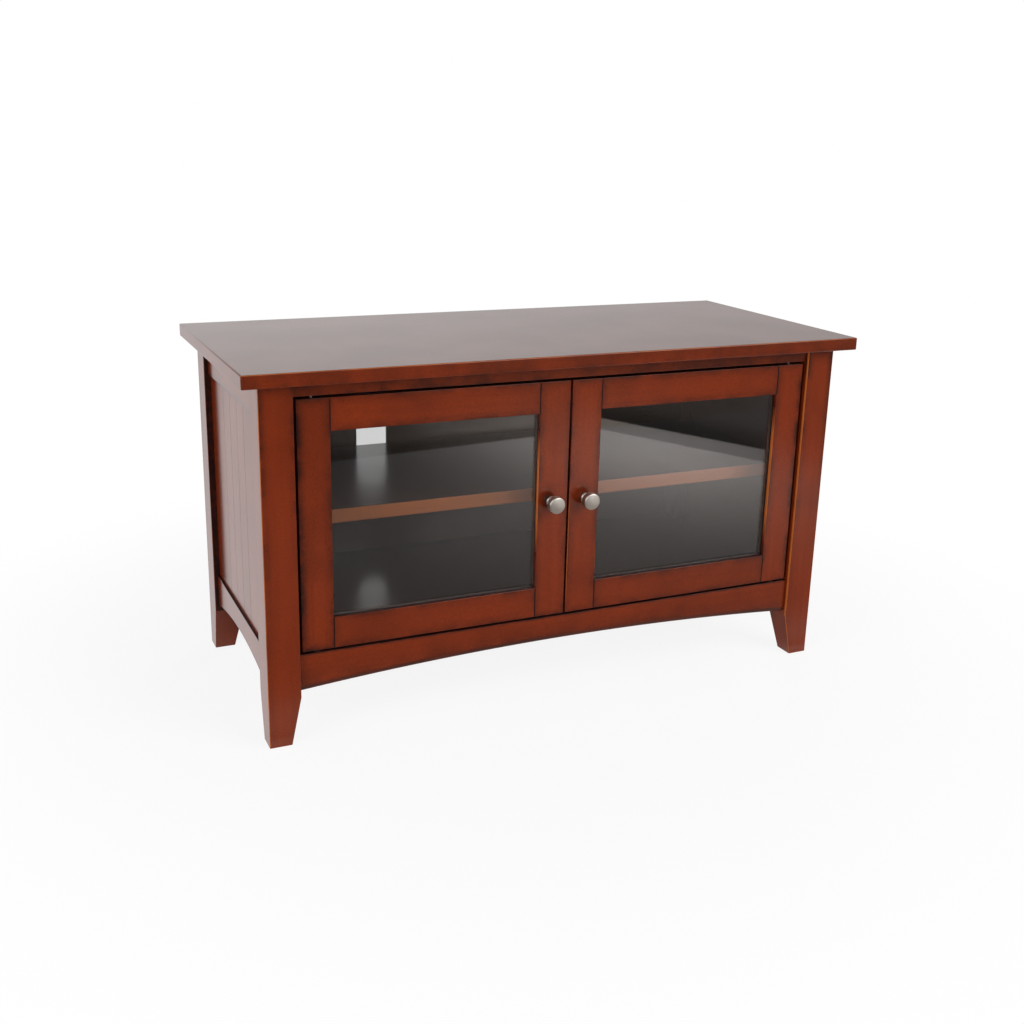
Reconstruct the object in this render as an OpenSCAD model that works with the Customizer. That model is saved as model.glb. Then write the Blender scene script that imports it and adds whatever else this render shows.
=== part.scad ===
// Low media cabinet: a post-and-rail frame with tapered feet, arched lower
// rails, boarded sides, one adjustable shelf, a back with two cable slots,
// and a pair of framed glass doors that turn on pivot pins.
// Millimetres, +Z up, front towards -Y. The origin is on the floor under the
// middle of the top.

/* [Top] */
// Width of the top
top_w = 914; // [760:1:1100]
// Depth of the top
top_d = 406; // [370:1:480]
// Thickness of the top
top_t = 18; // [14:0.5:26]
// Height of the whole cabinet
total_h = 508; // [460:1:620]
// Overhang of the top past the posts at each side
side_overhang = 24; // [6:0.5:40]
// Overhang of the top past the posts at the front
front_overhang = 22; // [6:0.5:40]
// Overhang of the top past the posts at the back
back_overhang = 1; // [0:0.5:15]
// Chamfer on the edges of the top
top_ease = 1.2; // [0.4:0.1:3]

/* [Posts] */
// Width of a post, square
post_w = 44.5; // [38:0.5:56]
// Width of a post at the floor, after the taper on its two inner faces
foot_w = 30.5; // [22:0.5:36]
// Height at which the foot taper begins
taper_h = 67; // [40:1:70]
// Chamfer on the edges of posts, rails and door frames
ease = 0.8; // [0.3:0.1:1.5]

/* [Rails] */
// Set-back of the rails from the posts' outer faces
rail_recess = 6; // [2:0.5:10]
// Thickness of the upright rails
rail_t = 18; // [15:0.5:22]
// Height of the front top rail, which lies flat
front_rail_h = 18.5; // [15:0.5:24]
// Depth of the front top rail
front_rail_d = 40; // [36:0.5:48]
// Height of the side and back top rails
side_rail_h = 51; // [42:1:70]
// Height of the lower rails' top edge above the floor
base_h = 125; // [118:1:150]
// Height of an arched rail at the crown of its arch
arch_rail_h = 33; // [30:0.5:36]
// Rise of the arch from its ends to its crown
arch_rise = 15; // [8:0.5:16]
// Chamfer along the arch
arch_ease = 3; // [1:0.5:4]
// Height of the back lower rail
back_rail_h = 31; // [26:1:40]

/* [Side panels] */
// Set-back of the side panels from the posts' outer faces
panel_recess = 9.5; // [7:0.5:12]
// Thickness of the side panels
panel_t = 14.5; // [12:0.5:18]
// Boards across one side
board_count = 7; // [4:1:10]
// Width of the V at the joint between two boards
v_joint_w = 0.8; // [0.6:0.1:4]
// Thickness of the tongue round a side panel
tongue_t = 6; // [4:0.5:8]
// Length of that tongue
tongue_l = 6; // [3:0.5:7]

/* [Doors] */
// Gap between a door and its post
door_side_gap = 4.5; // [3.8:0.1:6]
// Gap between the two doors
door_mid_gap = 3.4; // [2:0.2:6]
// Gap above and below a door
door_end_gap = 3.5; // [3.2:0.1:5]
// Thickness of a door frame
door_t = 16; // [15:0.5:18]
// Width of a door's outer stile
outer_stile_w = 43.5; // [42:0.5:60]
// Width of a door's inner stile, which carries the knob
inner_stile_w = 45.5; // [42:0.5:60]
// Width of a door's rails
door_rail_w = 43.5; // [40:0.5:60]
// Thickness of the lip in front of the glass
glass_lip = 7.5; // [6:0.5:8]
// Thickness of the glass
glass_t = 4; // [3:0.5:5]
// Width of the rabbet that holds the glass
rabbet_w = 8; // [6:0.5:10]
// Length of the door rails' tenons
tenon_l = 16; // [8:1:17]
// Thickness of those tenons
tenon_t = 5; // [3:0.5:6]

/* [Pivots] */
// Distance of a pivot pin from the door's outer edge
pin_inset = 21.4; // [20:0.2:22]
// Diameter of the pivot pins
pin_d = 4; // [3.5:0.5:5]
// Length of a pin inside the door
pin_in_door = 24; // [12:1:30]
// Length of the lower bushing in the rail
bush_l = 14; // [8:1:20]
// Outer diameter of the bushings
bush_d = 8; // [7:0.5:12]
// Radial running clearance of the pins
pin_clear = 0.05; // [0.02:0.01:0.1]
// Diameter of the collar on a lower pin
collar_d = 7; // [6.5:0.5:8.5]

/* [Knobs] */
// Distance of a knob from the door's inner edge
knob_inset = 25.3; // [18:0.5:30]
// Diameter of a knob's head
knob_d = 24; // [20:0.5:30]
// Diameter of a knob's foot
knob_foot_d = 15; // [12:0.5:18]
// Projection of a knob from the door
knob_l = 24; // [20:0.5:28]

/* [Inside] */
// Height of the shelf's upper face above the floor
shelf_h = 305; // [250:1:340]
// Thickness of the shelf
shelf_t = 19; // [14:0.5:22]
// Distance of the shelf's front edge behind the front posts
shelf_setback = 10; // [8:1:60]
// Gap between the shelf and the back panel
shelf_back_gap = 10; // [3:1:30]
// Gap between the shelf's ends and the side panels
shelf_end_gap = 2; // [1.8:0.2:4]
// Diameter of the shelf pins
shelf_pin_d = 5; // [4:0.5:6]
// Spacing of the shelf pin holes up the side
pin_hole_pitch = 32; // [25:1:40]
// Thickness of the bottom panel
bottom_t = 16; // [12:0.5:20]
// Thickness of the back panel
back_t = 4; // [3:0.5:6]
// Width of a cable slot in the back
slot_w = 50; // [30:1:80]
// Length of a cable slot
slot_l = 208; // [100:1:240]
// Distance of a cable slot from the middle of the cabinet
slot_x = 166.5; // [90:0.5:220]
// Height of a cable slot's middle above the floor
slot_z = 281; // [270:1:310]
// Section of the cleats, square
cleat_w = 15; // [12:0.5:15]

/* [Fasteners] */
// Diameter of the wood screws
screw_d = 4; // [3:0.5:5]
// Diameter of their heads
screw_head_d = 8; // [6:0.5:9]
// Diameter of the dowels in the frame
dowel_d = 8; // [6:0.5:8]
// Length of a dowel
dowel_l = 30; // [20:1:36]

/* [Hidden] */
// Radial clearance round screws and dowels
fit = 0.1;
// Gap between neighbours on different bodies
body_gap = 0.3;
// Overcut that keeps cut faces from coinciding
eps = 0.5;
// Roundness of bores and pins
round_n = 32;
// Roundness of the long arches
arch_n = 720;

// Main planes, worked out from the sizes above
top_z = total_h - top_t;
post_x1 = top_w / 2 - side_overhang;
post_x0 = post_x1 - post_w;
post_y0 = -top_d / 2 + front_overhang;
post_y1 = top_d / 2 - back_overhang;
post_back_y = post_y0 + post_w;
post_front_y = post_y1 - post_w;
rail_y0 = post_y0 + rail_recess;
rail_x1 = post_x1 - rail_recess;
rail_x0 = rail_x1 - rail_t;
panel_x1 = post_x1 - panel_recess;
panel_x0 = panel_x1 - panel_t;
side_rail_z = top_z - side_rail_h;
front_rail_z = top_z - front_rail_h;
back_rail_z = base_h - back_rail_h;
arch_crown_h = base_h - arch_rail_h;
arch_end_h = arch_crown_h - arch_rise;

// Back panel and the back rails that it is fixed to
back_inset = 2;
back_y1 = post_y1 - back_inset;
back_y0 = back_y1 - back_t;
back_rail_y0 = back_y0 - rail_t;
back_lap = 8;
back_low_edge = 4;
back_top_edge = 8;
back_x = post_x0 + back_lap - eps;
back_z0 = back_rail_z + back_low_edge;
back_z1 = top_z - back_top_edge;

// Doors
door_x0 = door_mid_gap / 2;
door_x1 = post_x0 - door_side_gap;
door_z0 = base_h + door_end_gap;
door_z1 = front_rail_z - door_end_gap;
door_y1 = rail_y0 + door_t;
glass_y0 = rail_y0 + glass_lip;
light_x0 = door_x0 + inner_stile_w;
light_x1 = door_x1 - outer_stile_w;
light_z0 = door_z0 + door_rail_w;
light_z1 = door_z1 - door_rail_w;
glass_edge = 1;
joint_gap = 0.2;
tenon_edge = 6;
tenon_y0 = rail_y0 + (door_t - tenon_t) / 2;
pin_x = door_x1 - pin_inset;
pin_y = rail_y0 + door_t / 2;
flange_t = 1;
flange_d = bush_d + 2;
collar_t = door_end_gap - flange_t - body_gap;
pin_end_gap = 1;
knob_x = door_x0 + knob_inset;
knob_z = (door_z0 + door_z1) / 2;
knob_screw_d = 4;
knob_thread_l = 9;
knob_screw_head_d = 8;
knob_screw_head_t = 2.4;

// Door catch and strike plates
strike_t = 1.2;
strike_w = 20;
strike_h = 15;
strike_x = 14;
strike_z1 = door_z1 - 1;
strike_screw_d = 3;
strike_screw_l = 11;
catch_w = 50;
catch_d = 17;
catch_y0 = door_y1 + strike_t + body_gap;
catch_z0 = strike_z1 - strike_h;
magnet_w = 14;
magnet_h = 8;
magnet_d = 10;
catch_screw_x = 20.5;
catch_screw_y = 13.3;
catch_screw_d = 3;
catch_screw_l = 25;

// Shelf, its pins and the holes for them
shelf_z0 = shelf_h - shelf_t;
shelf_y0 = post_back_y + shelf_setback;
shelf_y1 = back_y0 - shelf_back_gap;
shelf_x = panel_x0 - shelf_end_gap;
shelf_notch_gap = 2;
pin_hole_l = 9;
pin_tab_t = 2;
pin_plate_t = 1.5;
pin_tab_l = 9;
pin_tab_w = 10;
pin_plate_h = 9;
pin_rows = [-1, 0, 1];
pin_from_edge = 32;
pin_ys = [shelf_y0 + pin_from_edge, post_front_y - pin_from_edge];
pin_z = shelf_z0 - pin_tab_t - pin_plate_h / 2;

// Bottom panel and cleats
bottom_z = base_h - bottom_t;
bottom_y0 = rail_y0 + rail_t;
seat_gap = 0.3;
cleat_end_gap = 2;
cleat_x = post_x0 - cleat_end_gap;
cleat_y0 = post_back_y + cleat_end_gap;
cleat_y1 = post_front_y - cleat_end_gap;

// Radius of the arch in a rail of half-length half, with a flat at each end
arch_flat = 4;
function arch_r(half) = (pow(half - arch_flat, 2) + pow(arch_rise, 2)) / (2 * arch_rise);
front_arch_r = arch_r(post_x0);
side_arch_r = arch_r((post_front_y - post_back_y) / 2);
side_mid_y = (post_front_y + post_back_y) / 2;

// Screw places
screw_l = 26;
screw_head_t = (screw_head_d - screw_d) / 2;
screw_rows = [-0.75, -0.25, 0.25, 0.75];
back_screw_d = 3;
back_screw_l = 16;
back_screw_head_d = 6;
back_screw_head_t = 1.8;
back_screw_xs = [-0.9, -0.3, 0.3, 0.9];
back_screw_zs = [0.28, 0.5, 0.72];

// Everything that has a twin is drawn on the right and mirrored to the left
module on_side(side) {
    if (side < 0) mirror([1, 0, 0]) children();
    else children();
}

module both_sides() {
    children();
    mirror([1, 0, 0]) children();
}

// A plain block between two corners
module block(lo, hi) {
    translate(lo) cube(hi - lo);
}

// Outline of a rectangle with chamfered corners
module eased_rect(w, h, e) {
    polygon([
        [e, 0], [w - e, 0], [w, e], [w, h - e],
        [w - e, h], [e, h], [0, h - e], [0, e]
    ]);
}

// A board along X, Y or Z between two corners, its long edges chamfered
module board_x(lo, hi, e = ease) {
    translate(lo) rotate([90, 0, 90]) linear_extrude(hi.x - lo.x) eased_rect(hi.y - lo.y, hi.z - lo.z, e);
}

module board_y(lo, hi, e = ease) {
    translate([lo.x, hi.y, lo.z]) rotate([90, 0, 0])
        linear_extrude(hi.y - lo.y) eased_rect(hi.x - lo.x, hi.z - lo.z, e);
}

module board_z(lo, hi, e = ease) {
    translate(lo) linear_extrude(hi.z - lo.z) eased_rect(hi.x - lo.x, hi.y - lo.y, e);
}

// A rod of radius r from p along X, Y or Z
module rod_x(p, l, r) {
    translate(p) rotate([0, 90, 0]) cylinder(h = l, r = r, $fn = round_n);
}

module rod_y(p, l, r) {
    translate(p) rotate([-90, 0, 0]) cylinder(h = l, r = r, $fn = round_n);
}

module rod_z(p, l, r) {
    translate(p) cylinder(h = l, r = r, $fn = round_n);
}

// Countersunk screw along +Z, its head's face at the origin
module screw(l, d, head_d, head_t) {
    slot = head_d * 0.6;
    slot_t = head_d * 0.14;
    difference() {
        union() {
            cylinder(h = head_t, r1 = head_d / 2, r2 = d / 2, $fn = round_n);
            cylinder(h = l, r = d / 2, $fn = round_n);
        }
        for (turn = [0, 90])
            rotate([0, 0, turn])
                translate([-slot / 2, -slot_t / 2, -eps]) cube([slot, slot_t, eps + head_t / 2]);
    }
}

// The hole that such a screw sits in
module screw_hole(l, d, head_d, head_t) {
    translate([0, 0, -eps]) cylinder(h = eps, r = head_d / 2 + fit, $fn = round_n);
    cylinder(h = head_t, r1 = head_d / 2 + fit, r2 = d / 2 + fit, $fn = round_n);
    cylinder(h = l + fit, r = d / 2 + fit, $fn = round_n);
}

module wood_screw(l) {
    screw(l, screw_d, screw_head_d, screw_head_t);
}

module wood_screw_hole(l) {
    screw_hole(l, screw_d, screw_head_d, screw_head_t);
}

// A place along a side cleat, from 0 at its front end to 1 at its back end
function side_cleat_y(k) = cleat_y0 + k * (cleat_y1 - cleat_y0);

// Places of the screws that hold the top: children point up into it
module at_top_screws() {
    for (k = screw_rows) {
        translate([k * cleat_x, rail_y0 + front_rail_d / 2, front_rail_z]) children();
        translate([k * cleat_x, back_rail_y0 - cleat_w / 2, top_z - cleat_w]) children();
    }
    both_sides()
        for (k = [0.2, 0.8])
            translate([rail_x0 - cleat_w / 2, side_cleat_y(k), top_z - cleat_w]) children();
}

// Places of the screws that go up through the bottom cleats
module at_bottom_screws() {
    for (k = screw_rows) {
        translate([k * cleat_x, bottom_y0 + cleat_w / 2, bottom_z - cleat_w]) children();
        translate([k * cleat_x, back_rail_y0 - cleat_w / 2, bottom_z - cleat_w]) children();
    }
}

// Places of the screws that hold each cleat to its rail: children point at it
module at_cleat_screws(z, ends) {
    for (k = [-0.5, 0.5]) translate([k * cleat_x, back_rail_y0 - cleat_w, z]) rotate([-90, 0, 0]) children();
    if (ends == 2)
        for (k = [-0.5, 0.5])
            translate([k * cleat_x, bottom_y0 + cleat_w, z]) rotate([90, 0, 0]) children();
    both_sides()
        for (k = [0.35, 0.65])
            translate([rail_x0 - cleat_w, side_cleat_y(k), z]) rotate([0, 90, 0]) children();
}

top_cleat_z = top_z - cleat_w / 2;
bottom_cleat_z = bottom_z - cleat_w / 2;

// Places of the screws in the back panel: children point forward
module at_back_screws() {
    for (k = back_screw_xs, z = [(back_z0 + base_h) / 2, (side_rail_z + back_z1) / 2])
        translate([k * post_x0, back_y1, z]) rotate([90, 0, 0]) children();
    both_sides()
        for (k = back_screw_zs)
            translate([post_x0 + back_lap / 2, back_y1, back_z0 + k * (back_z1 - back_z0)])
                rotate([90, 0, 0]) children();
}

module back_screw_hole() {
    screw_hole(back_screw_l, back_screw_d, back_screw_head_d, back_screw_head_t);
}

// Heights of the two dowels in the end of a rail from z0 up to z1
function dowel_zs(z0, z1) = [z0 + dowel_d * 1.65, z1 - dowel_d * 1.6];

// Dowels between rails and posts on the right-hand side, longer by extra
module right_dowels(r, l) {
    half = l / 2;
    for (k = [0.2, 0.72])
        rod_x([post_x0 - half, rail_y0 + k * front_rail_d, front_rail_z + front_rail_h / 2], l, r);
    for (z = dowel_zs(arch_end_h, base_h))
        rod_x([post_x0 - half, bottom_y0 - rail_t / 2, z], l, r);
    for (z = dowel_zs(side_rail_z, top_z))
        rod_x([post_x0 - half, back_rail_y0 + rail_t / 2, z], l, r);
    rod_x([post_x0 - half, back_rail_y0 + rail_t / 2, (back_rail_z + base_h) / 2], l, r);
    for (y = [post_back_y, post_front_y]) {
        for (z = dowel_zs(arch_end_h, base_h)) rod_y([rail_x0 + rail_t / 2, y - half, z], l, r);
        for (z = dowel_zs(side_rail_z, top_z)) rod_y([rail_x0 + rail_t / 2, y - half, z], l, r);
    }
}

module dowel_holes() {
    both_sides() right_dowels(dowel_d / 2 + fit, dowel_l + 2 * fit);
}

// The tongue round the right side panel, or its groove when grown by g
module panel_tongue(g) {
    x0 = panel_x0 + (panel_t - tongue_t) / 2;
    block([x0 - g, post_back_y - tongue_l - g, base_h - tongue_l - g],
          [x0 + tongue_t + g, post_front_y + tongue_l + g, side_rail_z + tongue_l + g]);
}

module panel_grooves() {
    both_sides() panel_tongue(fit);
}

module top_panel() {
    color("#8a3a25") difference() {
        intersection() {
            board_x([-top_w / 2, -top_d / 2, top_z], [top_w / 2, top_d / 2, total_h], top_ease);
            board_y([-top_w / 2, -top_d / 2, top_z], [top_w / 2, top_d / 2, total_h], top_ease);
        }
        at_top_screws() wood_screw_hole(screw_l);
    }
}

// Side view of a post, its inner face drawn in over the foot
module post_profile(w) {
    polygon([
        [0, 0], [foot_w, 0], [w, taper_h], [w, top_z], [0, top_z]
    ]);
}

// Right-hand front post, or the back one, both tapered on the inner faces
module post(back) {
    y_out = back ? post_y1 : post_y0;
    y_low = back ? post_front_y : post_y0;
    color("#7a2f1e") difference() {
        intersection() {
            translate([post_x1, post_y0 - eps, 0]) mirror([1, 0, 0]) rotate([90, 0, 0])
                translate([0, 0, -(post_y1 - post_y0) - 2 * eps])
                    linear_extrude(post_y1 - post_y0 + 2 * eps) post_profile(post_w);
            translate([post_x0 - eps, y_out, 0]) mirror([0, back ? 1 : 0, 0]) rotate([90, 0, 90])
                linear_extrude(post_w + 2 * eps) post_profile(post_w);
            board_z([post_x0, y_low, 0], [post_x1, y_low + post_w, top_z]);
        }
        right_dowels(dowel_d / 2 + fit, dowel_l + 2 * fit);
        panel_tongue(fit);
        if (back) {
            block([post_x0 - eps, back_y0, back_z0 - eps],
                  [post_x0 + back_lap, post_y1 + eps, back_z1 + eps]);
            at_back_screws() back_screw_hole();
        }
    }
}

module front_top_rail() {
    color("#7a2f1e") difference() {
        board_x([-post_x0, rail_y0, front_rail_z], [post_x0, rail_y0 + front_rail_d, top_z]);
        dowel_holes();
        at_top_screws() wood_screw_hole(screw_l);
        both_sides() rod_z([pin_x, pin_y, front_rail_z - eps], front_rail_h + 2 * eps, bush_d / 2 + fit);
        at_catch_screws() catch_screw_hole();
    }
}

// A rail on its long edge with an arch cut in its lower edge. It is drawn
// along X with its face at y = 0 and its arch eased towards that face.
module arched_board(half, r) {
    blank_z = arch_end_h - 2 * ease;
    difference() {
        board_x([-half, 0, blank_z], [half, rail_t, base_h]);
        block([-half - eps, -eps, blank_z - eps], [half + eps, rail_t + eps, arch_end_h]);
        translate([0, rail_t + eps, arch_crown_h - r]) rotate([90, 0, 0])
            cylinder(h = rail_t + 2 * eps, r = r, $fn = arch_n);
        translate([0, arch_ease, arch_crown_h - r]) rotate([90, 0, 0])
            cylinder(h = arch_ease + eps, r1 = r, r2 = r + arch_ease + eps, $fn = arch_n);
    }
}

module front_arched_rail() {
    color("#7a2f1e") difference() {
        translate([0, rail_y0, 0]) arched_board(post_x0, front_arch_r);
        dowel_holes();
        both_sides() rod_z([pin_x, pin_y, base_h - bush_l], bush_l + eps, bush_d / 2 + fit);
        at_cleat_screws(bottom_cleat_z, 2) wood_screw_hole(screw_l);
    }
}

module side_arched_rail(side) {
    color("#7a2f1e") on_side(side) difference() {
        translate([rail_x1, side_mid_y, 0]) rotate([0, 0, 90])
            arched_board(post_front_y - side_mid_y, side_arch_r);
        right_dowels(dowel_d / 2 + fit, dowel_l + 2 * fit);
        panel_tongue(fit);
        at_cleat_screws(bottom_cleat_z, 2) wood_screw_hole(screw_l);
    }
}

module side_top_rail(side) {
    color("#7a2f1e") on_side(side) difference() {
        board_y([rail_x0, post_back_y, side_rail_z], [rail_x1, post_front_y, top_z]);
        right_dowels(dowel_d / 2 + fit, dowel_l + 2 * fit);
        panel_tongue(fit);
        at_cleat_screws(top_cleat_z, 1) wood_screw_hole(screw_l);
    }
}

module back_top_rail() {
    color("#5e2618") difference() {
        board_x([-post_x0, back_rail_y0, side_rail_z], [post_x0, back_y0, top_z]);
        dowel_holes();
        at_cleat_screws(top_cleat_z, 1) wood_screw_hole(screw_l);
        at_back_screws() back_screw_hole();
    }
}

module back_lower_rail() {
    color("#5e2618") difference() {
        board_x([-post_x0, back_rail_y0, back_rail_z], [post_x0, back_y0, base_h]);
        dowel_holes();
        at_cleat_screws(bottom_cleat_z, 2) wood_screw_hole(screw_l);
        at_back_screws() back_screw_hole();
    }
}

// Plan of the visible part of a side panel: boards glued edge to edge, with a
// V at each joint. Its outer face is at x = 0 and it runs from y = 0 to y = len.
module jointed_boards_plan(len) {
    difference() {
        translate([-panel_t, 0]) square([panel_t, len]);
        for (k = [1 : board_count - 1])
            translate([0, k * len / board_count]) rotate(45) square(v_joint_w / sqrt(2), center = true);
    }
}

module side_panel(side) {
    len = post_front_y - post_back_y;
    color("#8a3a25") on_side(side) difference() {
        union() {
            translate([panel_x1, post_back_y, base_h])
                linear_extrude(side_rail_z - base_h) jointed_boards_plan(len);
            panel_tongue(0);
        }
        for (y = pin_ys, k = pin_rows)
            rod_x([panel_x0 - eps, y, pin_z + k * pin_hole_pitch], pin_hole_l + eps, shelf_pin_d / 2 + fit);
    }
}

// A slot is two round ends and a straight middle, cut through the back
module slot_cut() {
    straight = slot_l - slot_w;
    translate([slot_x, 0, slot_z]) {
        for (s = [-1, 1])
            rod_y([0, back_y0 - eps, s * straight / 2], back_t + 2 * eps, slot_w / 2);
        block([-slot_w / 2, back_y0 - eps, -straight / 2], [slot_w / 2, back_y1 + eps, straight / 2]);
    }
}

module back_panel() {
    color("#2a1a14") difference() {
        block([-back_x, back_y0, back_z0], [back_x, back_y1, back_z1]);
        both_sides() slot_cut();
        at_back_screws() back_screw_hole();
    }
}

module bottom_panel() {
    color("#3a1a12") difference() {
        block([-rail_x0, bottom_y0, bottom_z], [rail_x0, back_rail_y0, base_h]);
        both_sides() {
            block([post_x0 - seat_gap, bottom_y0 - eps, bottom_z - eps],
                  [rail_x0 + eps, post_back_y + seat_gap, base_h + eps]);
            block([post_x0 - seat_gap, post_front_y - seat_gap, bottom_z - eps],
                  [rail_x0 + eps, back_rail_y0 + eps, base_h + eps]);
        }
        at_bottom_screws() wood_screw_hole(screw_l);
    }
}

module shelf() {
    color("#8a3a25") difference() {
        board_x([-shelf_x, shelf_y0, shelf_z0], [shelf_x, shelf_y1, shelf_h]);
        both_sides()
            block([post_x0 - shelf_notch_gap, post_front_y - shelf_notch_gap, shelf_z0 - eps],
                  [shelf_x + eps, shelf_y1 + eps, shelf_h + eps]);
    }
}

// Shelf pin on the right: a peg in the panel, a plate against it and a tab
module shelf_pin() {
    rod_x([panel_x0 - pin_plate_t, 0, pin_z], pin_plate_t + pin_hole_l - fit, shelf_pin_d / 2);
    block([panel_x0 - pin_plate_t, -pin_tab_w / 2, shelf_z0 - pin_tab_t - pin_plate_h],
          [panel_x0, pin_tab_w / 2, shelf_z0]);
    block([panel_x0 - pin_tab_l, -pin_tab_w / 2, shelf_z0 - pin_tab_t],
          [panel_x0, pin_tab_w / 2, shelf_z0]);
}

module shelf_pins() {
    color("#c8c8cc") both_sides() for (y = pin_ys) translate([0, y, 0]) shelf_pin();
}

// Three cleats under the top: one on each side rail and one on the back rail
module top_cleats() {
    color("#6a3a22") difference() {
        union() {
            both_sides() block([rail_x0 - cleat_w, cleat_y0, top_z - cleat_w], [rail_x0, cleat_y1, top_z]);
            block([-cleat_x, back_rail_y0 - cleat_w, top_z - cleat_w], [cleat_x, back_rail_y0, top_z]);
        }
        at_top_screws() wood_screw_hole(screw_l);
        at_cleat_screws(top_cleat_z, 1) wood_screw_hole(screw_l);
    }
}

// Four cleats that carry the bottom panel
module bottom_cleats() {
    z0 = bottom_z - cleat_w;
    color("#6a3a22") difference() {
        union() {
            both_sides() block([rail_x0 - cleat_w, cleat_y0, z0], [rail_x0, cleat_y1, bottom_z]);
            block([-cleat_x, back_rail_y0 - cleat_w, z0], [cleat_x, back_rail_y0, bottom_z]);
            block([-cleat_x, bottom_y0, z0], [cleat_x, bottom_y0 + cleat_w, bottom_z]);
        }
        at_bottom_screws() wood_screw_hole(screw_l);
        at_cleat_screws(bottom_cleat_z, 2) wood_screw_hole(screw_l);
    }
}

module frame_dowels() {
    color("#d8b88a") both_sides() right_dowels(dowel_d / 2, dowel_l);
}

module top_screws() {
    color("#9a9a9e") at_top_screws() wood_screw(screw_l);
}

module cleat_screws() {
    color("#9a9a9e") {
        at_cleat_screws(top_cleat_z, 1) wood_screw(screw_l);
        at_cleat_screws(bottom_cleat_z, 2) wood_screw(screw_l);
        at_bottom_screws() wood_screw(screw_l);
    }
}

module back_panel_screws() {
    color("#9a9a9e") at_back_screws()
        screw(back_screw_l, back_screw_d, back_screw_head_d, back_screw_head_t);
}

// The bore for a pivot pin in a bushing from z0 up to z1
module pin_bore(z0, z1) {
    rod_z([pin_x, pin_y, z0 - eps], z1 - z0 + 2 * eps, pin_d / 2 + pin_clear);
}

// Plain bushings, flush with the underside of the front top rail
module upper_bushings() {
    color("#4a3324") both_sides() difference() {
        rod_z([pin_x, pin_y, front_rail_z], front_rail_h, bush_d / 2);
        pin_bore(front_rail_z, top_z);
    }
}

// Bushings with a flange on the arched rail, on which the doors' collars ride
module lower_bushings() {
    color("#4a3324") both_sides() difference() {
        union() {
            rod_z([pin_x, pin_y, base_h - bush_l], bush_l, bush_d / 2);
            rod_z([pin_x, pin_y, base_h], flange_t, flange_d / 2);
        }
        pin_bore(base_h - bush_l, base_h + flange_t);
    }
}

// Places of the two screws that hold the catch: children point up
module at_catch_screws() {
    both_sides() translate([catch_screw_x, catch_y0 + catch_screw_y, catch_z0]) children();
}

module catch_screw_hole() {
    screw_hole(catch_screw_l, catch_screw_d, catch_screw_d * 2, catch_screw_d / 2);
}

module magnet(g) {
    x0 = strike_x - magnet_w / 2;
    z0 = catch_z0 + 2;
    block([x0 - g, catch_y0 - (g > 0 ? eps : 0), z0 - g],
          [x0 + magnet_w + g, catch_y0 + magnet_d + g, z0 + magnet_h + g]);
}

module catch_housing() {
    color("#4a3324") difference() {
        board_y([-catch_w / 2, catch_y0, catch_z0], [catch_w / 2, catch_y0 + catch_d, front_rail_z]);
        both_sides() magnet(fit);
        at_catch_screws() catch_screw_hole();
    }
}

module catch_magnets() {
    color("#3c3c40") both_sides() magnet(0);
}

module catch_screws() {
    color("#9a9a9e") at_catch_screws()
        screw(catch_screw_l, catch_screw_d, catch_screw_d * 2, catch_screw_d / 2);
}

// Rabbet behind the lip all round the glass, on the right-hand door
module glass_rabbet() {
    block([light_x0 - rabbet_w, glass_y0, light_z0 - rabbet_w],
          [light_x1 + rabbet_w, door_y1 + eps, light_z1 + rabbet_w]);
}

// Tenons of a door rail from z0 up to z1, or their mortises when grown by g
module tenons(z0, z1, g) {
    block([light_x0 - tenon_l - g, tenon_y0 - g, z0 - g],
          [light_x1 + tenon_l + g, tenon_y0 + tenon_t + g, z1 + g]);
}

module top_tenons(g) {
    tenons(light_z1 + rabbet_w + tenon_edge / 2, door_z1 - tenon_edge, g);
}

module bottom_tenons(g) {
    tenons(door_z0 + tenon_edge, light_z0 - rabbet_w - tenon_edge / 2, g);
}

module door_stile(x0, x1) {
    difference() {
        board_z([x0, rail_y0, door_z0], [x1, door_y1, door_z1]);
        glass_rabbet();
        top_tenons(fit);
        bottom_tenons(fit);
    }
}

module door_outer_stile(side) {
    color("#8a3a25") on_side(side) difference() {
        door_stile(light_x1, door_x1);
        rod_z([pin_x, pin_y, door_z0 - eps], pin_in_door + fit + eps, pin_d / 2 + fit);
        rod_z([pin_x, pin_y, door_z1 - pin_in_door - fit], pin_in_door + fit + eps, pin_d / 2 + fit);
    }
}

module door_inner_stile(side) {
    color("#8a3a25") on_side(side) difference() {
        door_stile(door_x0, light_x0);
        rod_y([knob_x, rail_y0 - eps, knob_z], door_t + 2 * eps, knob_screw_d / 2 + fit);
        strike_screw_place() strike_screw_hole();
    }
}

module door_top_rail(side) {
    color("#8a3a25") on_side(side) difference() {
        union() {
            board_x([light_x0, rail_y0, light_z1], [light_x1, door_y1, door_z1]);
            top_tenons(0);
        }
        glass_rabbet();
    }
}

module door_bottom_rail(side) {
    color("#8a3a25") on_side(side) difference() {
        union() {
            board_x([light_x0, rail_y0, door_z0], [light_x1, door_y1, light_z0]);
            bottom_tenons(0);
        }
        glass_rabbet();
    }
}

module door_glass(side) {
    lap = rabbet_w - glass_edge;
    color("#b9c4c2", 0.35) on_side(side)
        block([light_x0 - lap, glass_y0, light_z0 - lap],
              [light_x1 + lap, glass_y0 + glass_t, light_z1 + lap]);
}

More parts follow.
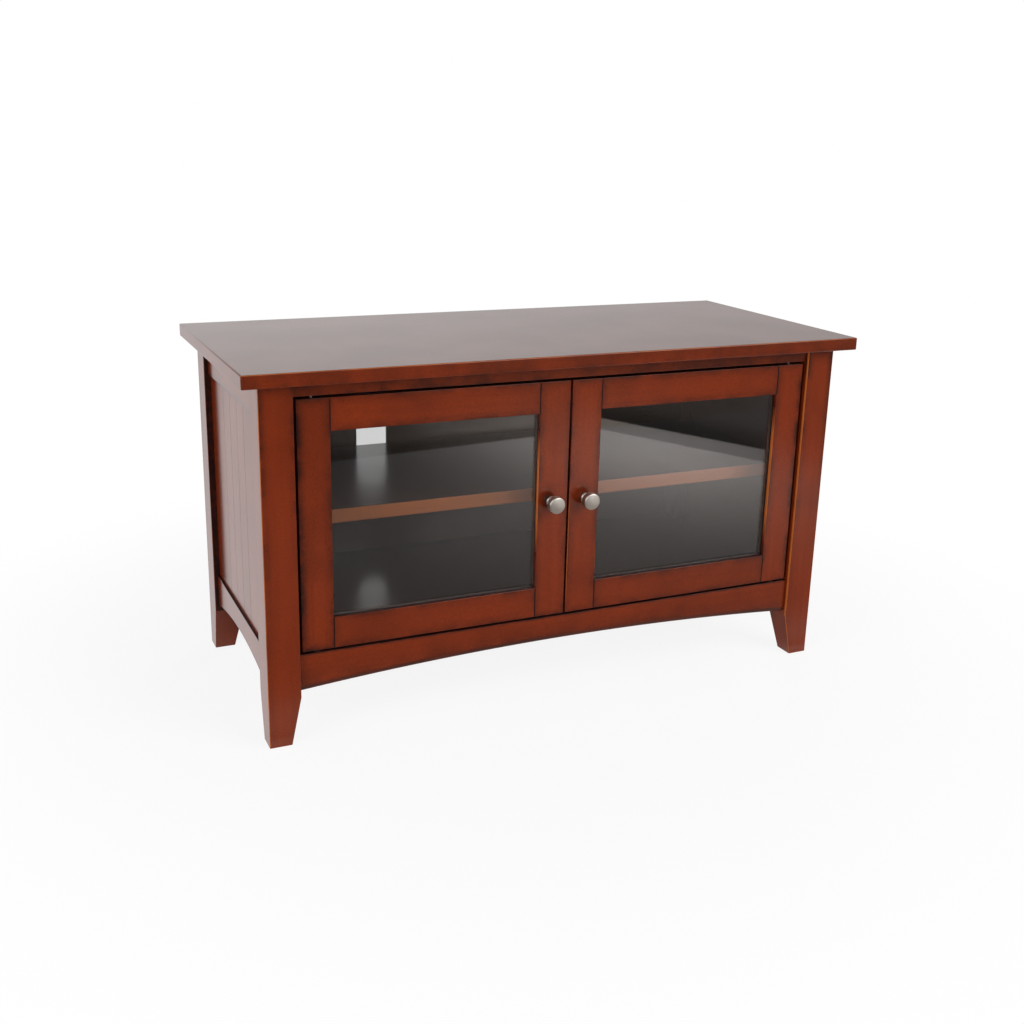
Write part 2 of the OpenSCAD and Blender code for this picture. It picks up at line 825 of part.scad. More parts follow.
// Four strips behind the glass that fill the rabbet flush with the frame
module door_glass_stops(side) {
    y0 = glass_y0 + glass_t;
    x0 = light_x0 - rabbet_w;
    x1 = light_x1 + rabbet_w;
    z0 = light_z0 - rabbet_w;
    z1 = light_z1 + rabbet_w;
    color("#3a1a12") on_side(side) {
        block([x0, y0, z0], [x1, door_y1, light_z0]);
        block([x0, y0, light_z1], [x1, door_y1, z1]);
        block([x0, y0, light_z0 + joint_gap], [light_x0, door_y1, light_z1 - joint_gap]);
        block([light_x1, y0, light_z0 + joint_gap], [x1, door_y1, light_z1 - joint_gap]);
    }
}

// Half outline of a knob from the door outwards: a stepped foot, a waist that
// flares into a thick head, a rounded rim and a slightly domed face
function knob_outline() =
    let (
        foot_r = knob_foot_d / 2,
        head_r = knob_d / 2,
        foot_t = knob_l * 0.13,
        waist_r = knob_foot_d * 0.33,
        flare_z = knob_l * 0.26,
        flare_l = knob_l * 0.3,
        rim_r = knob_l * 0.15,
        dome = knob_l * 0.05,
        rim_z = knob_l - dome - rim_r,
        face_r = head_r - rim_r
    )
    [
        [0, 0], [foot_r, 0], [foot_r, foot_t * 0.7], [foot_r * 0.85, foot_t], [waist_r, foot_t * 1.2],
        for (a = [0 : 18 : 90]) [head_r - (head_r - waist_r) * cos(a), flare_z + flare_l * sin(a)],
        for (a = [0 : 15 : 75]) [face_r + rim_r * cos(a), rim_z + rim_r * sin(a)],
        for (k = [1 : -0.25 : 0]) [face_r * k, knob_l - dome * k * k]
    ];

module door_knob(side) {
    color("#b8b4ac") on_side(side) translate([knob_x, rail_y0, knob_z]) rotate([90, 0, 0]) difference() {
        rotate_extrude($fn = 48) polygon(knob_outline());
        translate([0, 0, -eps])
            cylinder(h = knob_thread_l + fit + eps, r = knob_screw_d / 2 + fit, $fn = round_n);
    }
}

// Screw from the back of the stile into the knob
module door_knob_screw(side) {
    color("#9a9a9e") on_side(side) {
        rod_y([knob_x, rail_y0 - knob_thread_l, knob_z], knob_thread_l + door_t, knob_screw_d / 2);
        rod_y([knob_x, door_y1, knob_z], knob_screw_head_t, knob_screw_head_d / 2);
    }
}

// Pivot pin from the door's end into the bushing in the front top rail
module door_upper_pin(side) {
    color("#c8c8cc") on_side(side)
        rod_z([pin_x, pin_y, door_z1 - pin_in_door], pin_in_door + door_end_gap + front_rail_h - pin_end_gap,
              pin_d / 2);
}

// Pivot pin with the collar that carries the door on the lower bushing's flange
module door_lower_pin(side) {
    color("#c8c8cc") on_side(side) {
        rod_z([pin_x, pin_y, base_h - bush_l + pin_end_gap], pin_in_door + door_end_gap + bush_l - pin_end_gap,
              pin_d / 2);
        rod_z([pin_x, pin_y, door_z0 - collar_t], collar_t, collar_d / 2);
    }
}

// Place of the strike's screw: children point forward into the stile
module strike_screw_place() {
    translate([strike_x, door_y1 + strike_t, strike_z1 - strike_h / 2]) rotate([90, 0, 0]) children();
}

module strike_screw_hole() {
    screw_hole(strike_screw_l, strike_screw_d, strike_screw_d * 2, strike_screw_d / 2);
}

module door_strike(side) {
    color("#c8c8cc") on_side(side) difference() {
        block([strike_x - strike_w / 2, door_y1, strike_z1 - strike_h],
              [strike_x + strike_w / 2, door_y1 + strike_t, strike_z1]);
        strike_screw_place() strike_screw_hole();
    }
}

module door_strike_screw(side) {
    color("#9a9a9e") on_side(side) strike_screw_place()
        screw(strike_screw_l, strike_screw_d, strike_screw_d * 2, strike_screw_d / 2);
}

top_panel();
on_side(-1) post(false);  // front_left_post
on_side(1) post(false);  // front_right_post
on_side(-1) post(true);  // back_left_post
on_side(1) post(true);  // back_right_post
front_top_rail();
front_arched_rail();
back_top_rail();
back_lower_rail();
side_top_rail(-1);  // left_top_rail
side_top_rail(1);  // right_top_rail
side_arched_rail(-1);  // left_arched_rail
side_arched_rail(1);  // right_arched_rail
side_panel(-1);  // left_side_panel
side_panel(1);  // right_side_panel
back_panel();
bottom_panel();
shelf();
shelf_pins();
top_cleats();
bottom_cleats();
frame_dowels();
top_screws();
cleat_screws();
back_panel_screws();
upper_bushings();
lower_bushings();
catch_housing();
catch_magnets();
catch_screws();
door_outer_stile(-1);  // left_door_outer_stile
door_inner_stile(-1);  // left_door_inner_stile
door_top_rail(-1);  // left_door_top_rail
door_bottom_rail(-1);  // left_door_bottom_rail
door_glass(-1);  // left_door_glass
door_glass_stops(-1);  // left_door_glass_stops
door_knob(-1);  // left_door_knob
door_knob_screw(-1);  // left_door_knob_screw
door_upper_pin(-1);  // left_door_upper_pin
door_lower_pin(-1);  // left_door_lower_pin
door_strike(-1);  // left_door_strike
door_strike_screw(-1);  // left_door_strike_screw
door_outer_stile(1);  // right_door_outer_stile
door_inner_stile(1);  // right_door_inner_stile
door_top_rail(1);  // right_door_top_rail
door_bottom_rail(1);  // right_door_bottom_rail
door_glass(1);  // right_door_glass
door_glass_stops(1);  // right_door_glass_stops
door_knob(1);  // right_door_knob
door_knob_screw(1);  // right_door_knob_screw
door_upper_pin(1);  // right_door_upper_pin
door_lower_pin(1);  // right_door_lower_pin
door_strike(1);  // right_door_strike
door_strike_screw(1);  // right_door_strike_screw
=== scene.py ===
"""Finished looks of a low media cabinet with two glass doors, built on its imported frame."""

import math
from collections import namedtuple
from functools import cache

import bmesh
import bpy
from bpy.props import FloatProperty, FloatVectorProperty, IntProperty, PointerProperty
from mathutils import Matrix, Vector


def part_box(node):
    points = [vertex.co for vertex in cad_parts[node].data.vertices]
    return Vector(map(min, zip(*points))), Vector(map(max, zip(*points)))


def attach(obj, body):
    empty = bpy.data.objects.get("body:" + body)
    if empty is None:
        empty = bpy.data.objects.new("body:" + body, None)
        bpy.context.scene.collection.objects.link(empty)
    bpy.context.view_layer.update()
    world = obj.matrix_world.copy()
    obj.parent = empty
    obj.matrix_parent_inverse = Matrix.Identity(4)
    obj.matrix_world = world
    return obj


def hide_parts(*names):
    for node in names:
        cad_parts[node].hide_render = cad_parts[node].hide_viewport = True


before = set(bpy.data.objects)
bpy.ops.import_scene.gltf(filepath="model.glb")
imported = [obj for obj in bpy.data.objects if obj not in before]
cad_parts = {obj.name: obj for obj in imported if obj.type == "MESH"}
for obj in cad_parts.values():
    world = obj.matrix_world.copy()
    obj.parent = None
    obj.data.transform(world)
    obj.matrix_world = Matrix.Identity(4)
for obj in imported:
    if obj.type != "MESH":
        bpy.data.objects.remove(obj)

bl_info = {
    "name": "Low media cabinet",
    "version": (1, 0, 0),
    "blender": (4, 5, 0),
    "location": "3D View > Sidebar > Cabinet",
    "description": "Builds the finished pieces of a low media cabinet round its packed frame",
    "category": "Object",
}

MM = 0.001
TOUCH, CLOSE = MM / 100, MM / 10  # how far apart two places may be that count as one
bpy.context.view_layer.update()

# Material slots of a wooden piece. OWN and BAND hold finishes that only some pieces have.
# GLAZED_AND_SHADED holds the dark line finish: glaze in joints, and painted shade on faces in gaps
# and recesses.
FACE, RUBBED, GLAZED_AND_SHADED, OWN, BAND = range(5)
GLAZE_AND_SHADE = "glaze"  # attribute that says where the wood is darkened: by glaze in joints and along edges, and by painted shade under the top, along the gaps and in recesses
FADED = "faded"  # attribute that says where a rubbed edge fades out
SHARP = math.radians(20)
FACING = 0.9  # how much a face's normal has to point the way that is asked for
SIDES = ((1, 0, 0), (-1, 0, 0), (0, 1, 0), (0, -1, 0))
EDGE_SHARE = 0.3  # share of a thin edge's height over which its glaze and painted shade fade

Opening = namedtuple("Opening", "x0 z0 x1 z1")  # the glazed opening of a door
Wear = namedtuple("Wear", "x low high depth")  # an upright arris, worn between two heights


def colour(name, description, default):
    return FloatVectorProperty(
        name=name, description=description, default=default, size=3, min=0, max=1, subtype="COLOR"
    )


def length(name, description, millimetres):
    return FloatProperty(
        name=name, description=description, default=millimetres * MM, min=0, max=1,
        unit="LENGTH", precision=4,
    )


def count(name, description, default, low, high):
    return IntProperty(name=name, description=description, default=default, min=low, max=high)


def share(name, description, default, high=1.0):
    return FloatProperty(
        name=name, description=description, default=default, min=0, max=high, subtype="FACTOR"
    )


def angle(name, description, degrees):
    return FloatProperty(
        name=name, description=description, default=math.radians(degrees), unit="ROTATION"
    )


def power(name, description, watts):
    return FloatProperty(
        name=name, description=description, default=watts, min=0, max=2000, unit="POWER"
    )


class CabinetShape(bpy.types.PropertyGroup):
    """Sizes of the details that the finished pieces add to the frame."""

    edge_radius: length("Edge radius", "Rounding of the edges of posts and rails", 0.9)
    door_radius: length("Door edge radius", "Rounding of the edges of the door frames", 0.55)
    top_radius: length("Top edge radius", "Rounding of the edges of the top", 1.6)
    edge_steps: count("Edge steps", "Faces across a rounded edge", 4, 1, 8)
    # The glaze band also sets how far the painted shade reaches in from an edge.
    glaze_and_shade_band: length("Glaze band", "How far the dark glaze may reach in from an edge", 13)
    foot_width: length("Foot width", "Width of a post at the floor", 30.5)
    taper_height: length("Taper height", "Height at which the foot taper begins", 67)
    arch_rise: length("Arch rise", "Rise of an arch from its ends to its middle", 15)
    arch_drop: length("Front arch drop", "How far the front arch reaches below the frame's", 3.2)
    arch_flat: length("Arch flat", "Straight part at each end of an arch", 4)
    arch_ease: length("Arch ease", "Rounding of the front arch towards its face", 3)
    arch_steps: count("Arch steps", "Straight pieces along an arch", 36, 8, 96)
    boards: count("Side boards", "Boards across one side", 7, 2, 12)
    board_joint: length("Board joint", "Width of the V joint between two boards", 0.8)
    glass_lip: length("Glass lip", "Thickness of the frame in front of the glass", 7.5)
    rabbet: length("Rabbet", "Width of the rabbet that holds the glass", 8)
    slot_width: length("Cable slot width", "Width of a cable slot in the back", 50)
    slot_length: length("Cable slot length", "Length of a cable slot in the back", 208)
    slot_place: length("Cable slot place", "Distance of a slot from the middle", 166.5)
    slot_height: length("Cable slot height", "Height of a slot's middle", 281)


class CabinetFinish(bpy.types.PropertyGroup):
    """Colours and sheen of the stain, the glaze, the metals and the glass."""

    cherry: colour("Cherry stain", "Main colour of the stained wood", (0.196, 0.0240, 0.0036))
    cherry_deep: colour("Deep stain", "Darker streaks in the stain", (0.138, 0.0170, 0.0030))
    # The glaze colour is also the colour of the painted shade.
    glaze: colour("Glaze", "Dark glaze in joints and along edges", (0.022, 0.0056, 0.0042))
    rubbed: colour("Rubbed edge", "Stain rubbed through on an edge", (0.360, 0.090, 0.016))
    sheen: colour("Lacquer sheen", "Tint of the shine, seen straight on", (0.78, 0.70, 0.62))
    dark_board: colour("Dark board", "Stain of back and bottom", (0.034, 0.0150, 0.0103))
    # The shelf band colour is partly painted light on the edge behind the glass.
    shelf_band: colour("Shelf band", "Thin band on the shelf's front", (0.250, 0.070, 0.017))
    stop: colour("Glass stop", "Dull stain of the stops behind the glass", (0.10, 0.075, 0.068))
    plain_wood: colour("Plain wood", "Unseen frame wood", (0.42, 0.27, 0.15))
    nickel: colour("Brushed nickel", "Metal of the knobs", (0.53, 0.492, 0.445))
    zinc: colour("Zinc", "Metal of screws, pins and plates", (0.60, 0.60, 0.62))
    nylon: colour("Nylon", "Plastic of bushings and catch", (0.016, 0.010, 0.008))
    magnet: colour("Magnet", "Ceramic of the magnets", (0.045, 0.045, 0.050))
    glass: colour("Glass", "Tint of the glass", (0.835, 0.845, 0.84))
    lacquer_roughness: share("Lacquer roughness", "Roughness of the clear lacquer", 0.19)
    grain: share("Grain", "Strength of the wood's streaks", 0.45)


class CabinetStage(bpy.types.PropertyGroup):
    """Camera, floor and light."""

    camera_place: FloatVectorProperty(
        name="Camera place", description="Where the camera stands", size=3,
        default=(-0.76461, -1.64927, 0.80666), unit="LENGTH", precision=5,
    )
    camera_turn: angle("Camera turn", "Turn of the view towards the right", 24.6937)
    camera_tilt: angle("Camera tilt", "Tilt of the view below level", 16.6218)
    camera_roll: angle("Camera roll", "Roll of the camera", 1.3361)
    lens: FloatProperty(
        name="Lens", description="Focal length on a 36 mm sensor, in millimetres",
        default=43.595, min=10, max=200,
    )
    shift_up: FloatProperty(
        name="Shift", description="Upward shift of the lens, as a share of the frame",
        default=-0.0223, min=-0.2, max=0.2,
    )
    fill_light: share("Fill", "Brightness of the light from all round", 0.34)
    left_power: power("Left lamp", "Power of the large lamp at the left", 24)
    low_power: power("Low lamp", "Power of the low lamp at the left", 25)
    front_power: power("Front lamp", "Power of the large lamp at the front right", 70)
    back_power: power("Back lamp", "Power of the soft lamp behind", 26)
    floor_colour: colour("Floor", "Colour of the floor", (0.90, 0.90, 0.90))
    seen_through: share("Seen through glass", "Brightness of the studio behind the glass", 0.8)
    paper: share("Paper", "Brightness of the paper that the doors mirror", 0.15)
    near_glow: share("Near glow", "Added brightness of the paper by the cabinet", 0.3)
    foot_glow: share("Foot glow", "Added brightness of the paper by the front feet", 0.6)
    hot_spot: share("Hot spot", "Added brightness where the front lamp strikes", 2.0, 4.0)
    paper_warmth: colour("Paper warmth", "Tint of the mirrored paper", (1.0, 0.93, 0.90))


# Modelling by hand

def nothing_selected():
    if bpy.context.mode != "OBJECT":
        bpy.ops.object.mode_set(mode="OBJECT")
    bpy.ops.object.select_all(action="DESELECT")


def only(piece):
    """Makes one piece the selected and active one."""
    nothing_selected()
    piece.select_set(True)
    bpy.context.view_layer.objects.active = piece


def place_in_mesh():
    bpy.ops.object.transform_apply(location=True, rotation=True, scale=True)


def named(name):
    """Names the piece just added and puts its place into its mesh."""
    piece = bpy.context.object
    piece.name = piece.data.name = name
    place_in_mesh()
    return piece


def open_mesh(piece):
    only(piece)
    bpy.ops.object.mode_set(mode="EDIT")


def close_mesh():
    bpy.ops.object.mode_set(mode="OBJECT")
    return bpy.context.object


def turn_outwards():
    """Makes all faces of the open mesh look outwards."""
    bpy.ops.mesh.select_all(action="SELECT")
    bpy.ops.mesh.normals_make_consistent(inside=False)


def finishes(piece, *materials):
    for material in materials:
        piece.data.materials.append(material)


def block(name, low, high, *materials):
    """A block between two corners, to be shaped further."""
    low, high = Vector(low), Vector(high)
    nothing_selected()
    bpy.ops.mesh.primitive_cube_add(size=1, location=(low + high) / 2, scale=high - low)
    piece = named(name)
    finishes(piece, *materials)
    return piece


def middle(item):
    """Middle of a face or an edge."""
    if isinstance(item, bmesh.types.BMFace):
        return item.calc_center_median()
    return (item.verts[0].co + item.verts[1].co) / 2


def tall(face):
    """Height of a face."""
    heights = [v.co.z for v in face.verts]
    return max(heights) - min(heights)


def pick(kind, test):
    """Selects the faces, edges or corners of the open mesh that pass a test, and nothing else."""
    mesh = bpy.context.edit_object.data
    bpy.ops.mesh.select_all(action="DESELECT")
    bpy.ops.mesh.select_mode(type=kind)
    shape = bmesh.from_edit_mesh(mesh)
    items = {"FACE": shape.faces, "EDGE": shape.edges, "VERT": shape.verts}[kind]
    found = [item for item in items if test(item)]
    for item in found:
        item.select_set(True)
    shape.select_flush_mode()
    bmesh.update_edit_mesh(mesh)
    return len(found)


def shift(test, axis, distance):
    """Moves the corners of the open mesh that pass a test along one axis."""
    pick("VERT", test)
    bpy.ops.transform.translate(value=[distance if i == axis else 0 for i in range(3)])


def cut(place, axis, test=lambda face: True):
    """Cuts the faces of the open mesh that pass a test by a plane across one axis."""
    pick("FACE", test)
    point, normal = [0, 0, 0], [0, 0, 0]
    point[axis], normal[axis] = place, 1
    bpy.ops.mesh.bisect(plane_co=point, plane_no=normal)


def round_picked(radius, steps):
    """Rounds the selected edges. The new faces take the rubbed finish."""
    bpy.ops.mesh.bevel(offset=radius, segments=steps, affect="EDGES", material=RUBBED)


def round_edges(radius, steps, test=lambda edge: True):
    """Rounds the sharp edges that pass a test."""
    pick("EDGE", lambda e: len(e.link_faces) == 2 and e.calc_face_angle(0) > SHARP and test(e))
    round_picked(radius, steps)


def paint(slot, test):
    """Gives one of the piece's finishes to the faces that pass a test."""
    if pick("FACE", test):
        bpy.context.edit_object.active_material_index = slot
        bpy.ops.object.material_slot_assign()


def band(width, *normals):
    """Insets the flat faces that look along each normal, so that the glaze can fade inwards."""
    for way in map(Vector, normals):
        if pick("FACE", lambda f: f.material_index == FACE and f.normal.dot(way) > FACING):
            bpy.ops.mesh.inset(thickness=width, use_even_offset=True)


def mark(piece, attribute, amount):
    """Writes a number for each corner of a piece, from its index and its place."""
    marks = piece.data.attributes.new(attribute, "FLOAT", "POINT")
    for i, corner in enumerate(piece.data.vertices):
        marks.data[i].value = amount(i, corner.co)


def lay_glaze_and_shade(piece, amount, rest=0.0):
    """Marks where the wood is darkened by glaze and by painted shade: along the rounded edges,
    fading inwards to what the rest of the faces keep."""
    mesh = piece.data
    on_edge = {v for p in mesh.polygons if p.material_index != FACE for v in p.vertices}
    mark(piece, GLAZE_AND_SHADE, lambda i, place: amount(place) if i in on_edge else rest)
    for p in mesh.polygons:
        p.use_smooth = p.material_index == RUBBED


def keep_rubbed(piece, worn=lambda place: False):
    """Leaves the rubbed finish only on the rounded edges where the stain has worn through."""
    open_mesh(piece)
    paint(FACE, lambda f: f.material_index == RUBBED and not worn(middle(f)))
    close_mesh()


def cut_away(piece, *cutters):
    """Takes the cutters' shapes out of a piece and removes the cutters."""
    for cutter in cutters:
        only(piece)
        modifier = piece.modifiers.new("cut", "BOOLEAN")
        modifier.operation, modifier.object, modifier.solver = "DIFFERENCE", cutter, "EXACT"
        bpy.ops.object.modifier_apply(modifier=modifier.name)
        bpy.data.objects.remove(cutter)


def notches(low, high, gap, *posts):
    """Cutters that leave room for posts in a board between two corners."""
    cutters = []
    for a, b in map(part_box, posts):
        start = a.x - gap, a.y - gap, low.z - MM
        cutters.append(block("notch_cutter", start, (b.x + gap, b.y + gap, high.z + MM)))
    return cutters


def settle(piece, body, slot, *nodes):
    """Puts a finished piece on its body, in place of the frame's own nodes."""
    nothing_selected()
    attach(piece, body)
    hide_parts(*nodes)
    return piece


def twin(piece, body, slot, node):
    """A copy of a right-hand piece, mirrored to the left, with its own mesh."""
    only(piece)
    bpy.ops.object.duplicate(linked=False)
    copy = bpy.context.object
    copy.name = copy.data.name = node + "_finished"
    for key in [k for k in copy.keys() if k.startswith("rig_")]:
        del copy[key]
    copy.parent = None
    copy.matrix_world = Matrix.Scale(-1, 4, (1, 0, 0))
    place_in_mesh()
    open_mesh(copy)
    turn_outwards()
    close_mesh()
    return settle(copy, body, slot, node)


def turned(name, start, axis, outline, sides):
    """A turned piece: a disc drawn out along an axis ring by ring. The outline is a list of
    (distance along the axis, radius), and ends in a small flat."""
    way = Vector(axis)
    nothing_selected()
    bpy.ops.mesh.primitive_circle_add(
        vertices=sides, radius=outline[0][1], fill_type="NGON",
        rotation=Vector((0, 0, 1)).rotation_difference(way).to_euler(),
        location=Vector(start) + way * outline[0][0],
    )
    piece = named(name)
    open_mesh(piece)
    pick("FACE", lambda f: True)
    for (here, before), (there, after) in zip(outline, outline[1:]):
        step = way * (there - here)
        bpy.ops.mesh.extrude_region_move(TRANSFORM_OT_translate={"value": step})
        bpy.ops.transform.resize(value=[1.0 if along else after / before for along in way])
    turn_outwards()
    close_mesh()
    bpy.ops.object.shade_smooth_by_angle(angle=math.radians(32))
    return piece


# Materials

class Nodes:
    """A tree of nodes, with short calls for the nodes used here. In the name of an input,
    an underscore stands for a blank."""

    def __init__(self, tree):
        self.tree = tree
        tree.nodes.clear()

    def add(self, kind, **inputs):
        node = self.tree.nodes.new(kind)
        for key, value in inputs.items():
            self.put(node.inputs[key.replace("_", " ")], value)
        return node

    def join(self, source, socket):
        self.tree.links.new(source, socket)

    def put(self, socket, value):
        if isinstance(value, bpy.types.NodeSocket):
            self.join(value, socket)
        elif socket.type == "RGBA" and len(value) == 3:
            socket.default_value = (*value, 1)
        else:
            socket.default_value = value

    def rays(self):
        return self.add("ShaderNodeLightPath").outputs

    def split(self, vector):
        """The three parts of a vector."""
        return list(self.add("ShaderNodeSeparateXYZ", Vector=vector).outputs)

    def noise(self, vector, scale, detail=3.0, roughness=0.5):
        node = self.add(
            "ShaderNodeTexNoise", Vector=vector, Scale=scale, Detail=detail, Roughness=roughness
        )
        return node.outputs["Fac"]

    def ramp(self, value, low, high, to_low=0.0, to_high=1.0):
        """Takes a value from the range low to high into another range, smoothly."""
        node = self.add("ShaderNodeMapRange")
        node.interpolation_type = "SMOOTHSTEP"
        for socket, number in zip(node.inputs[:5], (value, low, high, to_low, to_high)):
            self.put(socket, number)
        return node.outputs["Result"]

    def maths(self, operation, a, b=0.0):
        node = self.add("ShaderNodeMath")
        node.operation = operation
        self.put(node.inputs[0], a)
        self.put(node.inputs[1], b)
        return node.outputs[0]

    def times(self, a, b):
        return self.maths("MULTIPLY", a, b)

    def plus(self, a, b):
        return self.maths("ADD", a, b)

    def higher(self, a, b):
        return self.maths("MAXIMUM", a, b)

    def between(self, share_of_b, a, b):
        """A number between two others."""
        node = self.add("ShaderNodeMix")
        for socket, number in zip(node.inputs[:1] + node.inputs[2:4], (share_of_b, a, b)):
            self.put(socket, number)
        return node.outputs[0]

    def blend(self, share_of_b, a, b):
        """A colour between two others."""
        node = self.add("ShaderNodeMix")
        node.data_type = "RGBA"
        for socket, part in zip(node.inputs[:1] + node.inputs[6:8], (share_of_b, a, b)):
            self.put(socket, part)
        return node.outputs[2]

    def over(self, base, pattern, low, high, most, other):
        """A colour with another laid over it where a pattern runs high, up to a share of it."""
        return self.blend(self.ramp(pattern, low, high, 0.0, most), base, other)

    def bell(self, places, middles, widths):
        """1 at a place, fading away round it. Each list holds one number for each direction."""
        total = 0.0
        for place, centre, width in zip(places, middles, widths):
            off = self.maths("DIVIDE", self.maths("SUBTRACT", place, centre), width)
            total = self.plus(self.times(off, off), total)
        return self.maths("EXPONENT", self.times(total, -0.5))


class MaterialNodes(Nodes):
    """A material: its one shader, and patterns that stay put on the piece."""

    def __init__(self, name, shader="ShaderNodeBsdfPrincipled"):
        self.material = bpy.data.materials.new(name)
        self.material.use_nodes = True
        super().__init__(self.material.node_tree)
        self.output = self.add("ShaderNodeOutputMaterial")
        self.shader = self.add(shader)
        self.show(self.shader)
        self.place = self.add("ShaderNodeTexCoord").outputs["Object"]

    def show(self, shader):
        self.join(shader.outputs[0], self.output.inputs["Surface"])

    def mix(self, share_of_b, a, b):
        """Shows a mix of two shaders."""
        node = self.add("ShaderNodeMixShader")
        for socket, part in zip(node.inputs, (share_of_b, a.outputs[0], b.outputs[0])):
            self.put(socket, part)
        self.show(node)

    def set(self, **inputs):
        for key, value in inputs.items():
            self.put(self.shader.inputs[key.replace("_", " ")], value)

    def varnish(self, base, pattern, smooth, rough, **inputs):
        """Sets the colour, and a roughness that follows a pattern. Hands over the material."""
        self.set(Base_Color=base, Roughness=self.ramp(pattern, 0.3, 0.7, smooth, rough), **inputs)
        return self.material

    def bump(self, height, strength, distance):
        node = self.add("ShaderNodeBump", Height=height, Strength=strength, Distance=distance)
        self.join(node.outputs[0], self.shader.inputs["Normal"])

    def attribute(self, name):
        node = self.add("ShaderNodeAttribute")
        node.attribute_name = name
        return node.outputs["Fac"]

    def moved(self, *move, scale=(1, 1, 1)):
        """The piece's coordinates, stretched and moved."""
        node = self.add("ShaderNodeMapping", Vector=self.place, Scale=scale, Location=move)
        return node.outputs[0]

    def wood(self, grain, seed):
        """Long fine streaks along the grain, wide soft clouds, and fine pores."""
        scale = [1.0, 1.0, 1.0]
        scale["XYZ".index(grain)] = 0.045
        along = self.moved(seed * 0.37, seed * 0.53, seed * 0.71, scale=scale)
        streaks = self.noise(along, 120, 5, 0.62)
        clouds = self.noise(self.moved(seed * 1.3, 0, seed * 0.7), 9, 3)
        pores = self.noise(along, 900, 2)
        return streaks, clouds, pores


def settings():
    return bpy.context.scene.cabinet_finish


def tone(base, factor):
    return tuple(min(1.0, c * factor) for c in base)


def centre_of(node):
    low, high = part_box(node)
    return (low + high) / 2


@cache
def cherry(grain, seed, shade_by_knob=False):
    """Stained and lacquered wood, darkened along its edges by glaze and painted shade, and round a
    knob by a painted shadow.
    """
    f = settings()
    n = MaterialNodes(f"cherry_{grain.lower()}_{seed}")
    streaks, clouds, pores = n.wood(grain, seed)
    base = n.over(f.cherry, streaks, 0.34, 0.72, f.grain, f.cherry_deep)
    base = n.over(base, clouds, 0.44, 0.70, 0.7, tone(f.cherry, 0.66))
    base = n.over(base, pores, 0.62, 0.78, 0.25, f.glaze)
    stipple = n.noise(n.moved(seed, seed, 3), 420, 3, 0.7)
    base = n.over(base, stipple, 0.35, 0.65, 0.22, f.glaze)
    uneven = n.ramp(n.noise(n.moved(seed, 2, 5), 30, 5, 0.6), 0.32, 0.68, 0.30, 1.25)
    dark = n.times(n.maths("POWER", n.attribute(GLAZE_AND_SHADE), 1.7), uneven)
    if shade_by_knob:
        knob = centre_of("right_door_knob")
        # Painted shadow of the knob, with its dark reflection in the lacquer, up and to the left of
        # each knob.
        off_x, off_z, widths, most = -7 * MM, 6 * MM, (9 * MM, 12 * MM), 0.85
        x, _, z = n.split(n.place)
        for knob_x in (knob.x, -knob.x):
            knob_shade = n.bell((x, z), (knob_x + off_x, knob.z + off_z), widths)
            dark = n.higher(dark, n.times(knob_shade, n.times(uneven, most)))
    darkest, spread = 0.94, 0.01
    base = n.blend(n.maths("MINIMUM", dark, darkest), base, f.glaze)
    n.bump(streaks, 0.10, 0.4 * MM)
    smooth, rough = f.lacquer_roughness - spread, f.lacquer_roughness + spread
    return n.varnish(base, clouds, smooth, rough, Specular_Tint=f.sheen, IOR=1.5)


@cache
def rubbed_edge(grain, seed):
    """An edge where the stain has been rubbed back to a brighter orange, in broken lengths."""
    f = settings()
    n = MaterialNodes(f"rubbed_{grain.lower()}_{seed}")
    streaks, clouds, _ = n.wood(grain, seed)
    base = n.over(f.rubbed, clouds, 0.50, 0.72, 1.0, tone(f.cherry, 1.1))
    base = n.over(base, streaks, 0.60, 0.76, 0.4, f.glaze)
    base = n.blend(n.attribute(FADED), base, tone(f.cherry, 0.4))
    return n.varnish(base, streaks, 0.34, 0.44, Specular_Tint=f.sheen, Specular_IOR_Level=0.3)


@cache
def glaze_and_shade_line(seed):
    """Joints and grooves where the dark glaze has stayed, and faces painted dark as shade in gaps
    and recesses.
    """
    f = settings()
    n = MaterialNodes(f"glaze_line_{seed}")
    clouds = n.noise(n.place, 60 + seed, 3)
    base = n.over(tone(f.glaze, 0.55), clouds, 0.4, 0.75, 0.5, tone(f.cherry, 0.35))
    return n.varnish(base, clouds, 0.5, 0.6, Specular_IOR_Level=0.15)


def wood(grain, seed, *shade_by_knob):
    """The finishes for the slots FACE, RUBBED and GLAZED_AND_SHADED."""
    return cherry(grain, seed, *shade_by_knob), rubbed_edge(grain, seed), glaze_and_shade_line(seed)


def shelf_band():
    """Thin band glued to the shelf's front edge, stained lighter than the rest; the lighter colour
    is partly painted light, making up for the shade on the edge behind the glass.
    """
    f = settings()
    n = MaterialNodes("shelf_band")
    streaks, clouds, pores = n.wood("X", 31)
    base = n.over(f.shelf_band, streaks, 0.34, 0.70, 0.5, tone(f.shelf_band, 0.7))
    base = n.over(base, pores, 0.60, 0.78, 0.3, f.glaze)
    return n.varnish(base, clouds, 0.28, 0.36, Specular_Tint=f.sheen)


@cache
def dark_arris():
    """The lower edge of an arch, painted dark all along: painted shade on the rounding that faces
    down.
    """
    f = settings()
    n = MaterialNodes("dark_arris")
    streaks, clouds, _ = n.wood("X", 17)
    base = n.blend(n.ramp(clouds, 0.35, 0.7, 0.2, 0.7), tone(f.cherry, 0.45), f.glaze)
    base = n.over(base, streaks, 0.34, 0.72, 0.5, tone(f.cherry, 0.25))
    return n.varnish(base, streaks, 0.3, 0.4, Specular_Tint=f.sheen)


